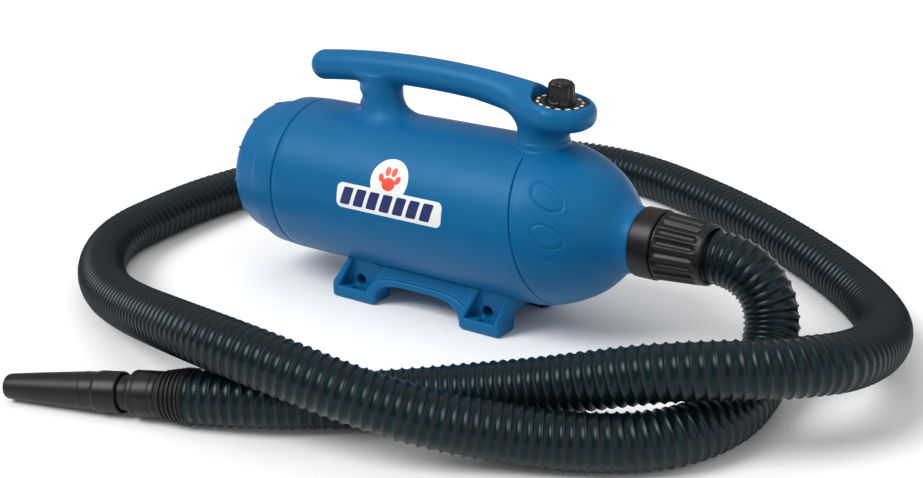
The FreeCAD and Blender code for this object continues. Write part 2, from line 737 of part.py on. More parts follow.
def rounded_path(points):
    """Straight runs joined by tangent arcs, each as large as its two runs allow."""
    spots = [Vector(*p) for p in points]
    edges = []
    here = spots[0]
    radii = []
    for before, corner, after in zip(spots, spots[1:], spots[2:]):
        back = (before - corner).normalize()
        ahead = (after - corner).normalize()
        half_turn = (math.pi - back.getAngle(ahead)) / 2
        reach = 0.45 * min((corner - before).Length, (after - corner).Length)
        radius = reach / math.tan(half_turn)
        radii.append(radius)
        start = corner + back * reach
        stop = corner + ahead * reach
        middle = (back + ahead).normalize()
        centre_gap = math.hypot(radius, reach)
        top = corner + middle * (centre_gap - radius)
        edges.append(Part.LineSegment(here, start).toShape())
        edges.append(Part.Arc(start, top, stop).toShape())
        here = stop
    edges.append(Part.LineSegment(here, spots[-1]).toShape())
    return Part.Wire(edges), radii


def make_hose():
    """The corrugated hose as a plain tube of its outer diameter, swept along its route."""
    path, radii = rounded_path(HOSE_ROUTE)
    start = Vector(*HOSE_ROUTE[0])
    heading = Vector(*HOSE_ROUTE[1]) - start
    rods = []
    for name in ("hose_radius", "hose_bore"):
        disc = Part.Face(Part.Wire([Part.makeCircle(SHEET.get(name), start, heading)]))
        rods.append(path.makePipe(disc))
    hose = doc.addObject("Part::Feature", "hose_tube")
    hose.Shape = rods[0].cut(rods[1]).Solids[0]
    section = math.pi * (SHEET.get("hose_radius") ** 2 - SHEET.get("hose_bore") ** 2)
    expected = section * path.Length
    print("hose length %.0f mm, radii from %.0f mm" % (path.Length, min(radii)))
    print("hose arc radii:", " ".join("%.0f" % radius for radius in radii))
    print("hose volume over section times length %.4f" % (hose.Shape.Volume / expected))
    keep(hose, "hose")


TAIL_AT = HOSE_ROUTE[-1]
TAIL_HEADING = Vector(*HOSE_ROUTE[-1]) - Vector(*HOSE_ROUTE[-2])


def on_tail(corners):
    """A piece turned about the line of the hose's free end."""
    return turned(corners, TAIL_AT, FreeCAD.Rotation(X_DIR, TAIL_HEADING))


def make_hose_end():
    """Ribbed cuff and swivel ring on the free end, and the push-on cone nozzle."""
    cuff_end = cell("cuff_length")
    ring_end = cuff_end + cell("ring_length")
    neck_end = ring_end + cell("neck_length")
    cuff = [
        (0, 17), (0, 23.8), (4, 24), (cuff_end, 20.5), (cuff_end, 17)]
    keep(on_tail(cuff), "hose_cuff")
    swivel = [
        (cuff_end, 13), (cuff_end, 19), (cuff_end + 1.5, 20), (ring_end - 1.5, 20),
        (ring_end, 19), (ring_end, 16), (neck_end + 16, 15), (neck_end + 16, 13)]
    keep(on_tail(swivel), "cuff_ring")
    start = neck_end
    gap = 0.4
    collar_end = start + cell("nozzle_collar")
    tip = collar_end + cell("nozzle_cone")
    nozzle = [
        (start, 16 + gap), (start, 17.5), (start + 1, 18), (collar_end, 18),
        (collar_end + 2, 17), (tip - 1, 11), (tip, 10.4), (tip, 9), (tip - 20, 9),
        (collar_end, 14.5), (start + 17, 15 + gap)]
    keep(on_tail(nozzle), "cone_nozzle")


# ---------------------------------------------------------------- build, check and write

def check_document():
    """Stop if any object failed or any sub-part isn't a valid solid."""
    doc.recompute()
    for thing in doc.Objects:
        if "Invalid" in thing.State or "Error" in thing.State:
            raise RuntimeError("%s failed: %s" % (thing.Label, thing.State))
    for thing in SUBPARTS:
        shape = thing.Shape
        if shape.isNull() or not shape.isValid() or not shape.Solids:
            raise RuntimeError("%s has no valid solid" % thing.Label)


def write_parts():
    os.makedirs("parts", exist_ok=True)
    for thing in SUBPARTS:
        thing.Shape.exportStep("parts/%s.step" % thing.Label)
        print("%-22s solids %d volume %9.0f" % (
            thing.Label, len(thing.Shape.Solids), thing.Shape.Volume))


make_main_housing()
make_rear_cover()
make_nose_shell()
make_base()
make_feet()
make_handle()
make_speed_control()
make_intake()
make_fan_unit()
make_motor()
make_motor_supports()
make_electrics()
make_screws()
make_label()
make_coupling()
make_hose()
make_hose_end()
check_document()
write_parts()
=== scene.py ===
import math

import bmesh
import bpy
import numpy as np
from mathutils import Matrix, Vector


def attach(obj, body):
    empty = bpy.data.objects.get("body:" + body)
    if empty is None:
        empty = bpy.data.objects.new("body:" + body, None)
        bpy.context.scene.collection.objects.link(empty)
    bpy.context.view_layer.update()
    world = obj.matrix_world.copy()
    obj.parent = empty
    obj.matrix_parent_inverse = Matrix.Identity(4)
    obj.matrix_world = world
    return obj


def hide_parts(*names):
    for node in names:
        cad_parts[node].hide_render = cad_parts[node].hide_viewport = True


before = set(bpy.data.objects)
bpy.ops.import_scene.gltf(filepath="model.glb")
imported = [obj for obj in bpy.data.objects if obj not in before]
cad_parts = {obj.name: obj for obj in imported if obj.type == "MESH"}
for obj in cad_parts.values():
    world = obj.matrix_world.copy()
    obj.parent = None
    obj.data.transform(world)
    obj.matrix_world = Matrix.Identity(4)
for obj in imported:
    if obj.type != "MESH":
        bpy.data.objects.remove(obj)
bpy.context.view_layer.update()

# ------------------------------------------------------------------ studio
# The dryer stands on a plain white sweep under three broad soft suns, seen by a
# long lens from in front of its outlet end and a little above.

def add_node(tree, kind, settings={}, inputs={}):
    """Adds one node, sets its options, and gives its inputs a value or a link."""
    node = tree.nodes.new(kind)
    for name, value in settings.items():
        setattr(node, name, value)
    for name, value in inputs.items():
        if isinstance(value, bpy.types.NodeSocket):
            tree.links.new(value, node.inputs[name])
        else:
            node.inputs[name].default_value = value
    return node


def paint(code):
    """An sRGB hex colour as the linear colour that a shader takes."""
    shares = [int(code[i:i + 2], 16) / 255 for i in (1, 3, 5)]
    return [s / 12.92 if s <= 0.04045 else ((s + 0.055) / 1.055) ** 2.4 for s in shares] + [1.0]


def put_in(name, data):
    """Puts a mesh, a lens, a lamp or a curve in the scene as an object of this name."""
    piece = bpy.data.objects.new(name, data)
    bpy.context.scene.collection.objects.link(piece)
    return piece


def built(name, points, faces):
    """A piece made of these points, in metres, and these faces between them."""
    mesh = bpy.data.meshes.new(name)
    mesh.from_pydata(points, [], faces)
    return put_in(name, mesh)


lens = bpy.data.cameras.new("lens")
lens.lens = 58.5
camera = put_in("camera", lens)
bpy.context.scene.camera = camera
turn, climb, roll = math.radians(36.36), math.radians(20.72), math.radians(-1.76)
back = Vector((
    math.sin(turn) * math.cos(climb), -math.cos(turn) * math.cos(climb), math.sin(climb)))
right = Vector((math.cos(turn), math.sin(turn), 0))
level = back.cross(right)
aim = Matrix((
    right * math.cos(roll) + level * math.sin(roll),
    level * math.cos(roll) - right * math.sin(roll),
    back,
)).transposed().to_4x4()
aim.translation = (0.83120, -1.10239, 0.58465)
camera.matrix_world = aim

sweep = built("sweep", [(-9, -9, 0), (9, -9, 0), (9, 9, 0), (-9, 9, 0)], [(0, 1, 2, 3)])
matt_paper = bpy.data.materials.new("matt_paper")
matt_paper.use_nodes = True
paper = matt_paper.node_tree.nodes["Principled BSDF"]
paper.inputs["Base Color"].default_value = paint("#fbfbfb")
paper.inputs["Roughness"].default_value = 0.9
paper.inputs["Specular IOR Level"].default_value = 0.1
sweep.data.materials.append(matt_paper)

daylight = bpy.data.worlds.new("daylight")
daylight.use_nodes = True
sky = daylight.node_tree.nodes["Background"]
sky.inputs["Color"].default_value = paint("#ffffff")
sky.inputs["Strength"].default_value = 0.34
bpy.context.scene.world = daylight
bpy.context.scene.view_settings.view_transform = "Standard"

for name, place, spread, strength in (
    ("key_left_front", (-1.0, -1.5, 2.0), 32, 2.3),
    ("fill_right", (2.0, -0.7, 1.3), 60, 0.75),
    ("soft_top", (0.1, 0.5, 3.0), 90, 0.75),
):
    lamp = bpy.data.lights.new(name, "SUN")
    lamp.angle = math.radians(spread)
    lamp.energy = strength
    sun = put_in(name, lamp)
    sun.location = place
    to_dryer = Vector((0, 0, 0.1)) - Vector(place)
    sun.rotation_euler = to_dryer.to_track_quat("-Z", "Y").to_euler()

# ------------------------------------------------------------------ hose
# Ten feet of stretch hose: a hard vinyl cord wound in a spiral, with a thin soft
# film welded between its turns. It runs out of the coupling, forward, round in
# front, behind the blower and back over its first run to the nozzle.

MM = 0.001
AXIS = 104.6
FLOOR = 24.5
hose_route = [
    (285, 0, AXIS), (305, 0, AXIS), (326, 0, 97), (343, -1, 80), (352, -8, 57), (357, -26, 38),
    (362, -52, 27), (366, -78, FLOOR), (369, -113, FLOOR), (362, -150, FLOOR),
    (344, -184, FLOOR), (313, -211, FLOOR), (271, -233, 25), (233, -254, 31), (198, -275, 39),
    (165, -291, 48), (129, -306, 58), (89, -316, 68), (43, -321, 75), (-11, -318, 76),
    (-86, -294, 64), (-165, -260, 46), (-239, -225, 32), (-302, -182, 26), (-347, -133, FLOOR),
    (-371, -84, FLOOR), (-377, -28, FLOOR), (-379, 36, FLOOR), (-371, 88, FLOOR),
    (-356, 160, FLOOR), (-325, 232, FLOOR), (-272, 300, FLOOR), (-200, 352, FLOOR),
    (-118, 378, FLOOR), (-40, 386, FLOOR), (28, 373, FLOOR), (109, 339, FLOOR),
    (187, 299, FLOOR), (262, 250, FLOOR), (328, 199, FLOOR), (379, 146, 28), (420, 80, 37),
    (440, 7, 51), (444, -68, 70), (426, -102, 75), (404, -128, 77), (377, -149, 78),
    (348, -165, 76), (316, -177, 70), (278, -187, 59), (232, -196, 45), (182, -208, 33),
    (132, -232, 25), (90, -266, FLOOR), (51, -296, 26), (14, -317, 27), (-22, -329, FLOOR),
]
line_data = bpy.data.curves.new("hose_line", "CURVE")
line_data.dimensions = "3D"
spline = line_data.splines.new("NURBS")
spline.points.add(len(hose_route) - 1)
for point, spot in zip(spline.points, hose_route):
    point.co = (*(Vector(spot) * MM), 1)
spline.order_u = 3
spline.use_endpoint_u = True
spline.resolution_u = 16
hose_line = put_in("hose_line", line_data)
bpy.context.view_layer.update()
hose_mesh = bpy.data.meshes.new_from_object(hose_line)
bpy.data.objects.remove(hose_line)
hose = put_in("corrugated_hose", hose_mesh)


def bare_material(name):
    """An empty material, with its tree, its shader and the place on the piece."""
    made = bpy.data.materials.new(name)
    made.use_nodes = True
    tree = made.node_tree
    place = add_node(tree, "ShaderNodeTexCoord").outputs["Object"]
    return made, tree, tree.nodes["Principled BSDF"], place


def black_vinyl():
    """Plasticised PVC, extruded: the film is glossy and a touch blue-green where light
    passes into it, and the wound cord is thicker, blacker and duller."""
    made, tree, skin, place = bare_material("plasticised_vinyl")
    cord = add_node(tree, "ShaderNodeAttribute", {"attribute_name": "cord"}).outputs["Fac"]
    # flow marks along the film, about 12 mm across
    flow = add_node(tree, "ShaderNodeTexNoise", {}, {"Vector": place, "Scale": 80.0, "Detail": 3.0})
    film = add_node(tree, "ShaderNodeMix", {"data_type": "RGBA"}, {
        0: flow.outputs["Fac"], 6: paint("#030709"), 7: paint("#04171f")})
    both = add_node(tree, "ShaderNodeMix", {"data_type": "RGBA"}, {
        0: cord, 6: film.outputs[2], 7: paint("#060809")})
    tree.links.new(both.outputs[2], skin.inputs["Base Color"])
    dull = add_node(tree, "ShaderNodeMapRange", {}, {
        "Value": cord, "To Min": 0.27, "To Max": 0.42})
    tree.links.new(dull.outputs["Result"], skin.inputs["Roughness"])
    # fine die lines, 1 mm apart
    grain = add_node(tree, "ShaderNodeTexNoise", {}, {
        "Vector": place, "Scale": 900.0, "Detail": 2.0})
    relief = add_node(tree, "ShaderNodeBump", {}, {
        "Strength": 0.12, "Distance": 0.0003, "Height": grain.outputs["Fac"]})
    tree.links.new(relief.outputs["Normal"], skin.inputs["Normal"])
    # the film throws light back blue-green, and the cord throws it back plain
    tinge = add_node(tree, "ShaderNodeMix", {"data_type": "RGBA"}, {
        0: cord, 6: paint("#b0dae3"), 7: paint("#ffffff")})
    tree.links.new(tinge.outputs[2], skin.inputs["Specular Tint"])
    skin.inputs["Specular IOR Level"].default_value = 0.3
    skin.inputs["IOR"].default_value = 1.53
    return made


def keep_made(piece, modifier):
    """Keeps what a modifier makes of a piece as its plain mesh, and drops the modifier."""
    bpy.context.view_layer.update()
    seen = piece.evaluated_get(bpy.context.evaluated_depsgraph_get())
    plain = bpy.data.meshes.new_from_object(seen)
    piece.modifiers.remove(modifier)
    piece.data = plain


def grow(piece, tree, **sizes):
    """Runs a piece's node tree with these named sizes and keeps the result as its plain mesh."""
    builder = piece.modifiers.new("build", "NODES")
    builder.node_group = tree
    for item in tree.interface.items_tree:
        if item.item_type == "SOCKET" and item.in_out == "INPUT" and item.name in sizes:
            builder[item.identifier] = sizes[item.name]
    keep_made(piece, builder)
    piece.data.name = piece.name
    return piece


def new_tree(name, inputs):
    """An empty node tree for a piece, with these named inputs."""
    tree = bpy.data.node_groups.new(name, "GeometryNodeTree")
    tree.interface.new_socket("Geometry", in_out="INPUT", socket_type="NodeSocketGeometry")
    for label, kind in inputs:
        tree.interface.new_socket(label, in_out="INPUT", socket_type="NodeSocket" + kind)
    tree.interface.new_socket("Geometry", in_out="OUTPUT", socket_type="NodeSocketGeometry")
    return tree


winding = new_tree("hose_winding", [
    ("Film Radius", "Float"), ("Cord Height", "Float"), ("Cord Half Width", "Float"),
    ("Film Sag", "Float"), ("Pitch", "Float"), ("Squeeze", "Float"), ("Squeezed Turns", "Float"),
    ("Turns", "Int"), ("Facets", "Int"), ("Material", "Material")])
given = add_node(winding, "NodeGroupInput").outputs


def worked_out(operation, *values):
    """One step of arithmetic in the winding tree, on numbers or on other steps."""
    step = add_node(winding, "ShaderNodeMath", {"operation": operation}, dict(enumerate(values)))
    return step.outputs[0]


centre = add_node(winding, "GeometryNodeMeshToCurve", {}, {"Mesh": given["Geometry"]})
columns = worked_out("MULTIPLY", given["Turns"], given["Facets"])
strip = add_node(winding, "GeometryNodeMeshGrid", {}, {
    "Size X": given["Turns"], "Size Y": 1.0, "Vertices X": worked_out("ADD", columns, 1.0),
    "Vertices Y": 9})
flat_place = add_node(winding, "GeometryNodeInputPosition")
flat = add_node(winding, "ShaderNodeSeparateXYZ", {}, {"Vector": flat_place.outputs[0]})
turn_number = worked_out("MULTIPLY_ADD", given["Turns"], 0.5, flat.outputs["X"])
across = worked_out("ADD", flat.outputs["Y"], 0.5)
# rows of the strip crowd together at the cord, which is half way across it
crowd = worked_out("SINE", worked_out("MULTIPLY", across, 2 * math.pi))
row_share = worked_out("MULTIPLY_ADD", crowd, 0.6 / (2 * math.pi), across)
wound = worked_out("ADD", worked_out("SUBTRACT", turn_number, 1.0), row_share)
# the coupling squeezes the first turns together
inward = worked_out("MULTIPLY", wound, -1.0)
relaxed = worked_out("EXPONENT", worked_out("DIVIDE", inward, given["Squeezed Turns"]))
most_lost = worked_out("MULTIPLY", given["Squeeze"], given["Squeezed Turns"])
lost = worked_out("MULTIPLY", most_lost, worked_out("SUBTRACT", 1.0, relaxed))
along = worked_out("MULTIPLY", worked_out("SUBTRACT", wound, lost), given["Pitch"])
station = add_node(winding, "GeometryNodeSampleCurve", {"mode": "LENGTH"}, {
    "Curves": centre.outputs["Curve"], "Length": along})
sideways = add_node(winding, "ShaderNodeVectorMath", {"operation": "CROSS_PRODUCT"}, {
    0: station.outputs["Tangent"], 1: station.outputs["Normal"]})
around = worked_out("MULTIPLY", turn_number, 2 * math.pi)
part_normal = add_node(winding, "ShaderNodeVectorMath", {"operation": "SCALE"}, {
    "Vector": station.outputs["Normal"], "Scale": worked_out("COSINE", around)})
part_side = add_node(winding, "ShaderNodeVectorMath", {"operation": "SCALE"}, {
    "Vector": sideways.outputs["Vector"], "Scale": worked_out("SINE", around)})
outward = add_node(winding, "ShaderNodeVectorMath", {"operation": "ADD"}, {
    0: part_normal.outputs["Vector"], 1: part_side.outputs["Vector"]})
rows_away = worked_out("ABSOLUTE", worked_out("SUBTRACT", row_share, 0.5))
from_cord = worked_out("MULTIPLY", rows_away, given["Pitch"])
bead = add_node(winding, "ShaderNodeMapRange", {"interpolation_type": "SMOOTHSTEP"}, {
    "Value": from_cord, "From Min": 0.0, "From Max": given["Cord Half Width"],
    "To Min": 1.0, "To Max": 0.0})
hollow = add_node(winding, "ShaderNodeMapRange", {"interpolation_type": "SMOOTHSTEP"}, {
    "Value": from_cord, "From Min": given["Cord Half Width"],
    "From Max": worked_out("MULTIPLY", given["Pitch"], 0.5),
    "To Min": 0.0, "To Max": given["Film Sag"]})
raised = worked_out(
    "MULTIPLY_ADD", bead.outputs["Result"], given["Cord Height"], given["Film Radius"])
radius = worked_out("SUBTRACT", raised, hollow.outputs["Result"])
lifted = add_node(winding, "ShaderNodeVectorMath", {"operation": "SCALE"}, {
    "Vector": outward.outputs["Vector"], "Scale": radius})
spot = add_node(winding, "ShaderNodeVectorMath", {"operation": "ADD"}, {
    0: station.outputs["Position"], 1: lifted.outputs["Vector"]})
point_number = {"data_type": "FLOAT", "domain": "POINT"}
corded = add_node(winding, "GeometryNodeStoreNamedAttribute", point_number, {
    "Geometry": strip.outputs["Mesh"], "Name": "cord", "Value": bead.outputs["Result"]})
shaped = add_node(winding, "GeometryNodeSetPosition", {}, {
    "Geometry": corded.outputs["Geometry"], "Position": spot.outputs["Vector"]})
sealed = add_node(winding, "GeometryNodeMergeByDistance", {}, {
    "Geometry": shaped.outputs["Geometry"], "Distance": 0.02 * MM})
real = add_node(winding, "GeometryNodeRealizeInstances", {}, {
    "Geometry": sealed.outputs["Geometry"]})
coloured = add_node(winding, "GeometryNodeSetMaterial", {}, {
    "Geometry": real.outputs["Geometry"], "Material": given["Material"]})
add_node(winding, "NodeGroupOutput", {}, {"Geometry": coloured.outputs["Geometry"]})

vinyl = black_vinyl()
pitch, squeeze, squeezed_turns = 8.7, 0.28, 15.0
turns = math.ceil(3061 / pitch + squeeze * squeezed_turns) + 2
grow(hose, winding, **{
    "Film Radius": 22.9 * MM, "Cord Height": 1.35 * MM,
    "Cord Half Width": 1.85 * MM, "Film Sag": 0.45 * MM,
    "Pitch": pitch * MM, "Squeeze": squeeze, "Squeezed Turns": squeezed_turns, "Turns": turns,
    "Facets": 24, "Material": vinyl})
ends = bmesh.new()
ends.from_mesh(hose.data)
bmesh.ops.dissolve_degenerate(ends, edges=ends.edges, dist=1e-6)
bmesh.ops.holes_fill(ends, edges=[e for e in ends.edges if e.is_boundary], sides=0)
bmesh.ops.recalc_face_normals(ends, faces=ends.faces)
ends.to_mesh(hose.data)
ends.free()
hose.data.shade_smooth()
hose.data.set_sharp_from_angle(angle=math.radians(75))
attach(hose, "dryer")
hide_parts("hose")

# ------------------------------------------------------------------ hose end
# A ribbed rubber cuff is glued over the hose, a hard swivel ring turns in it, and
# the cone nozzle, moulded in satin nylon, pushes over the ring's neck.

def moulded_plastic(name, colour, worn, roughness, grain, depth):
    """A moulded plastic: a fine spark-eroded grain (its size and depth in mm) that breaks
    up the highlight, and slow drifts of shade where the melt flowed and hands rubbed."""
    made, tree, skin, place = bare_material(name)
    drift = add_node(tree, "ShaderNodeTexNoise", {}, {
        "Vector": place, "Scale": 22.0, "Detail": 4.0, "Roughness": 0.6})
    shade = add_node(tree, "ShaderNodeMix", {"data_type": "RGBA"}, {
        0: drift.outputs["Fac"], 6: paint(colour), 7: paint(worn)})
    tree.links.new(shade.outputs[2], skin.inputs["Base Color"])
    sheen = add_node(tree, "ShaderNodeMapRange", {}, {
        "Value": drift.outputs["Fac"], "From Min": 0.3, "From Max": 0.7,
        "To Min": roughness - 0.04, "To Max": roughness + 0.05})
    tree.links.new(sheen.outputs["Result"], skin.inputs["Roughness"])
    pits = add_node(tree, "ShaderNodeTexNoise", {}, {
        "Vector": place, "Scale": 1000 / grain, "Detail": 2.0})
    relief = add_node(tree, "ShaderNodeBump", {}, {
        "Strength": 0.35, "Distance": depth * MM, "Height": pits.outputs["Fac"]})
    tree.links.new(relief.outputs["Normal"], skin.inputs["Normal"])
    # the grain scatters part of the gloss, so the surface throws back less than bare plastic
    skin.inputs["Specular IOR Level"].default_value = 0.3
    skin.inputs["IOR"].default_value = 1.5
    return made


def eased(outline, radius):
    """A closed outline with each corner rounded over up to this radius."""
    corners = [Vector(p) for p in outline]
    rounded = []
    for before, corner, after in zip(
            corners[-1:] + corners[:-1], corners, corners[1:] + corners[:1]):
        reach = min(radius, 0.42 * (before - corner).length, 0.42 * (after - corner).length)
        start = corner + (before - corner).normalized() * reach
        stop = corner + (after - corner).normalized() * reach
        for t in (0, 0.33, 0.67, 1):
            rounded.append(start * (1 - t) ** 2 + corner * 2 * t * (1 - t) + stop * t * t)
    return rounded


def skinned(name, rows, material, sharp=40):
    """A closed mesh over rows of points in mm that meet themselves both ways round."""
    rows = np.asarray(rows, float)
    down, across = rows.shape[:2]
    number = np.arange(down * across).reshape(down, across)
    ahead, beside = np.roll(number, -1, 0), np.roll(number, -1, 1)
    both = np.roll(ahead, -1, 1)
    faces = np.stack([number, ahead, both, beside], -1).reshape(-1, 4)
    piece = built(name, (rows.reshape(-1, 3) * MM).tolist(), faces.tolist())
    finished(piece.data, material, sharp)
    return piece


def finished(mesh, material, sharp):
    """Merges doubled points, turns the faces outward and smooths them up to an angle."""
    work = bmesh.new()
    work.from_mesh(mesh)
    bmesh.ops.remove_doubles(work, verts=work.verts, dist=1e-6)
    bmesh.ops.dissolve_degenerate(work, edges=work.edges, dist=1e-7)
    bmesh.ops.recalc_face_normals(work, faces=work.faces)
    work.to_mesh(mesh)
    work.free()
    mesh.materials.clear()
    mesh.materials.append(material)
    mesh.shade_smooth()
    mesh.set_sharp_from_angle(angle=math.radians(sharp))


def turned(name, outline, material, start=(0, 0, AXIS), heading=(1, 0, 0), steps=96, sharp=40):
    """A piece turned about a line: its outline is (along, radius) in mm, all the way round."""
    along = Vector(heading).normalized()
    side = along.orthogonal().normalized()
    other = along.cross(side)
    angles = [2 * math.pi * i / steps for i in range(steps)]
    rows = [[Vector(start) + along * a + (side * math.cos(t) + other * math.sin(t)) * r
             for t in angles] for a, r in outline]
    return skinned(name, rows, material, sharp)


# injection-moulded black nylon, satin
satin_nylon = moulded_plastic("satin_nylon", "#080707", "#0e0d0d", 0.38, 0.5, 0.04)
# moulded black EPDM-like rubber, matt
cuff_rubber = moulded_plastic("moulded_rubber", "#0a0909", "#121110", 0.5, 0.7, 0.08)
tail_at = hose_route[-1]
tail_heading = Vector(hose_route[-1]) - Vector(hose_route[-2])
cuff_outline = [(0, 17), (-1, 23.3), (2.2, 24.3)]
for i in range(5):
    rib_at = 4.6 + 4.5 * i
    size = 24.1 - 0.72 * i
    cuff_outline += [(rib_at - 1.4, size - 1.7), (rib_at - 0.9, size), (rib_at + 0.9, size - 0.1),
                     (rib_at + 1.4, size - 1.9)]
cuff_outline += [(26.8, 20.2), (27, 17)]
cuff = turned("hose_cuff_ribbed", eased(cuff_outline, 0.5), cuff_rubber, tail_at, tail_heading)
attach(cuff, "dryer")
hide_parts("hose_cuff")
swivel_outline = [
    (27, 13), (27, 19.4), (28.6, 20), (32, 20), (32.4, 19.5), (33.4, 19.5), (33.8, 20), (47.2, 20),
    (47.6, 19.5), (48.6, 19.5), (49, 20), (52.4, 20), (54, 19), (54, 16), (56, 15.6), (56.5, 15.9),
    (58, 15.9), (58.5, 15.5), (81, 15), (81, 13)]
swivel = turned("swivel_ring", eased(swivel_outline, 0.6), satin_nylon, tail_at, tail_heading)
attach(swivel, "dryer")
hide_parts("cuff_ring")
nozzle_outline = [
    (65, 16.4), (65, 17.4), (66.2, 18), (86.6, 18), (88.4, 17.1), (100, 16.5), (101, 16.75),
    (102, 16.4), (140, 14), (172, 11.6), (177.6, 11), (179, 10.2), (179, 9.2), (177.8, 9), (159, 9),
    (120, 11.8), (88, 14.5), (82, 15.4)]
nozzle = turned("nozzle_cone", eased(nozzle_outline, 0.9), satin_nylon, tail_at, tail_heading)
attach(nozzle, "cone_nozzle")
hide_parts("cone_nozzle")

# ------------------------------------------------------------------ coupling
# The outlet's push-fit coupling: a plain nylon collar screwed to the neck, and a
# fluted sleeve that grips the hose and twists on the collar.

collar_outline = [
    (221, 26), (221, 31.2), (222, 32), (241, 32), (242, 31.2), (242, 22), (279, 22), (279, 24),
    (285, 24), (285, 19.5), (229, 19.5)]
collar = turned("outlet_collar_ring", eased(collar_outline, 0.6), satin_nylon)
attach(collar, "dryer")
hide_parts("outlet_collar")

sector_of = new_tree("like_sectors_round_an_axis", [
    ("Count", "Int"), ("Turn", "Rotation"), ("Centre", "Vector"), ("Material", "Material")])
given = add_node(sector_of, "NodeGroupInput").outputs
spots = add_node(sector_of, "GeometryNodePoints", {}, {"Count": given["Count"]})
which = add_node(sector_of, "GeometryNodeInputIndex")
share = add_node(sector_of, "ShaderNodeMath", {"operation": "DIVIDE"}, {
    0: which.outputs[0], 1: given["Count"]})
angle = add_node(sector_of, "ShaderNodeMath", {"operation": "MULTIPLY"}, {
    0: share.outputs[0], 1: 2 * math.pi})
about_axis = add_node(sector_of, "ShaderNodeCombineXYZ", {}, {"X": angle.outputs[0]})
copies = add_node(sector_of, "GeometryNodeInstanceOnPoints", {}, {
    "Points": spots.outputs[0], "Instance": given["Geometry"], "Rotation": about_axis.outputs[0]})
one = add_node(sector_of, "GeometryNodeRealizeInstances", {}, {
    "Geometry": copies.outputs["Instances"]})
joined = add_node(sector_of, "GeometryNodeMergeByDistance", {}, {
    "Geometry": one.outputs["Geometry"], "Distance": 0.00001})
placed = add_node(sector_of, "GeometryNodeTransform", {}, {
    "Geometry": joined.outputs["Geometry"],
    "Translation": given["Centre"], "Rotation": given["Turn"]})
whole = add_node(sector_of, "GeometryNodeRealizeInstances", {}, {
    "Geometry": placed.outputs["Geometry"]})
coloured = add_node(sector_of, "GeometryNodeSetMaterial", {}, {
    "Geometry": whole.outputs["Geometry"], "Material": given["Material"]})
add_node(sector_of, "NodeGroupOutput", {}, {"Geometry": coloured.outputs["Geometry"]})


def sector(name, outline, count, parts, shape):
    """One of the like sectors of a turned piece, about X; shape(along, radius, share)
    gives the radius at each share of the way across it."""
    steps = [i / parts for i in range(parts + 1)]
    number = len(outline)
    points = []
    for share_across in steps:
        turn_here = 2 * math.pi / count * (share_across - 0.5)
        for a, r in outline:
            out = shape(a, r, share_across)
            points.append((a * MM, math.cos(turn_here) * out * MM, math.sin(turn_here) * out * MM))
    faces = [(i * number + j, i * number + (j + 1) % number, (i + 1) * number + (j + 1) % number,
              (i + 1) * number + j) for i in range(parts) for j in range(number)]
    return built(name, points, faces)


def fluted(along, radius, across):
    """Wide rounded lands with a narrow trough between two of them."""
    if radius < 26 or not 245 < along < 283:
        return radius
    trough = max(0.0, math.cos((across - 0.5) * 2 * math.pi) * 0.5 + 0.5) ** 1.6
    end = min(1.0, (along - 245) / 2.0, (283 - along) / 3.5)
    return radius - 2.0 * (1 - trough) * max(0.0, end) ** 0.6 + 0.3 * trough


sleeve_outline = eased([(242.4, 24.7), (242.4, 30), (243.4, 30.6), (245, 30.6)], 0.4)[:-2]
sleeve_outline += [(x, 30.4 - 0.075 * (x - 245)) for x in np.linspace(245, 284, 27)]
sleeve_outline += [(288, 27.2), (289.4, 26.9), (290, 26.2), (290, 24.7)]
sleeve = sector("coupling_sleeve_fluted", sleeve_outline, 20, 12, fluted)
grow(sleeve, sector_of, Count=20, Centre=(0, 0, AXIS * MM), Material=satin_nylon)
finished(sleeve.data, satin_nylon, 50)
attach(sleeve, "coupling_sleeve")
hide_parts("coupling_sleeve")

# ------------------------------------------------------------------ casing
# Three blue mouldings: the barrel, the stepped intake end cap with its clip ribs,
# and the domed nose, which meets the barrel on a sloping seam.

# injection-moulded ABS, coloured blue right through
blue_shell = moulded_plastic("moulded_abs_blue", "#065889", "#0a6196", 0.4, 0.6, 0.03)
blue_skin = blue_shell.node_tree.nodes["Principled BSDF"]
blue_skin.inputs["Specular Tint"].default_value = paint("#a8d8e6")
BARREL = 77.5
skin_x = [-156.7, 129.9, 135, 139.9, 144.9, 149.9, 154.9, 159.9, 164.9, 169.9,
          178.9, 186.9, 193.9, 200.9, 206, 212, 221]
skin_r = [BARREL, BARREL, 76.7, 75.7, 74.5, 73.1, 71.4, 69.4, 67.1, 64.5,
          59.6, 53.8, 47.2, 39.5, 34, 31.2, 30]


def casing_radius(x):
    """The casing's outer radius at x, with the nose's drawn curve smoothed between its sizes."""
    spread = np.linspace(-3, 3, 7)
    return sum(np.interp(x + s, skin_x, skin_r) for s in spread) / len(spread)


def casing_rows(stations, columns, lean, relief=None):
    """Rings of points round the casing; lean shears each ring by its height, as the seam is."""
    rows, t = [], np.array(columns)
    for x0, r_in in stations:
        guess = np.full(len(t), float(x0))
        for _ in range(4):
            out = casing_radius(guess) - r_in
            guess = x0 - lean(x0) * out * np.sin(t)
        if relief is not None and r_in < 2:
            out = out + relief(guess, t)
        rows.append(np.stack([guess, -out * np.cos(t), AXIS + out * np.sin(t)], 1))
    return rows


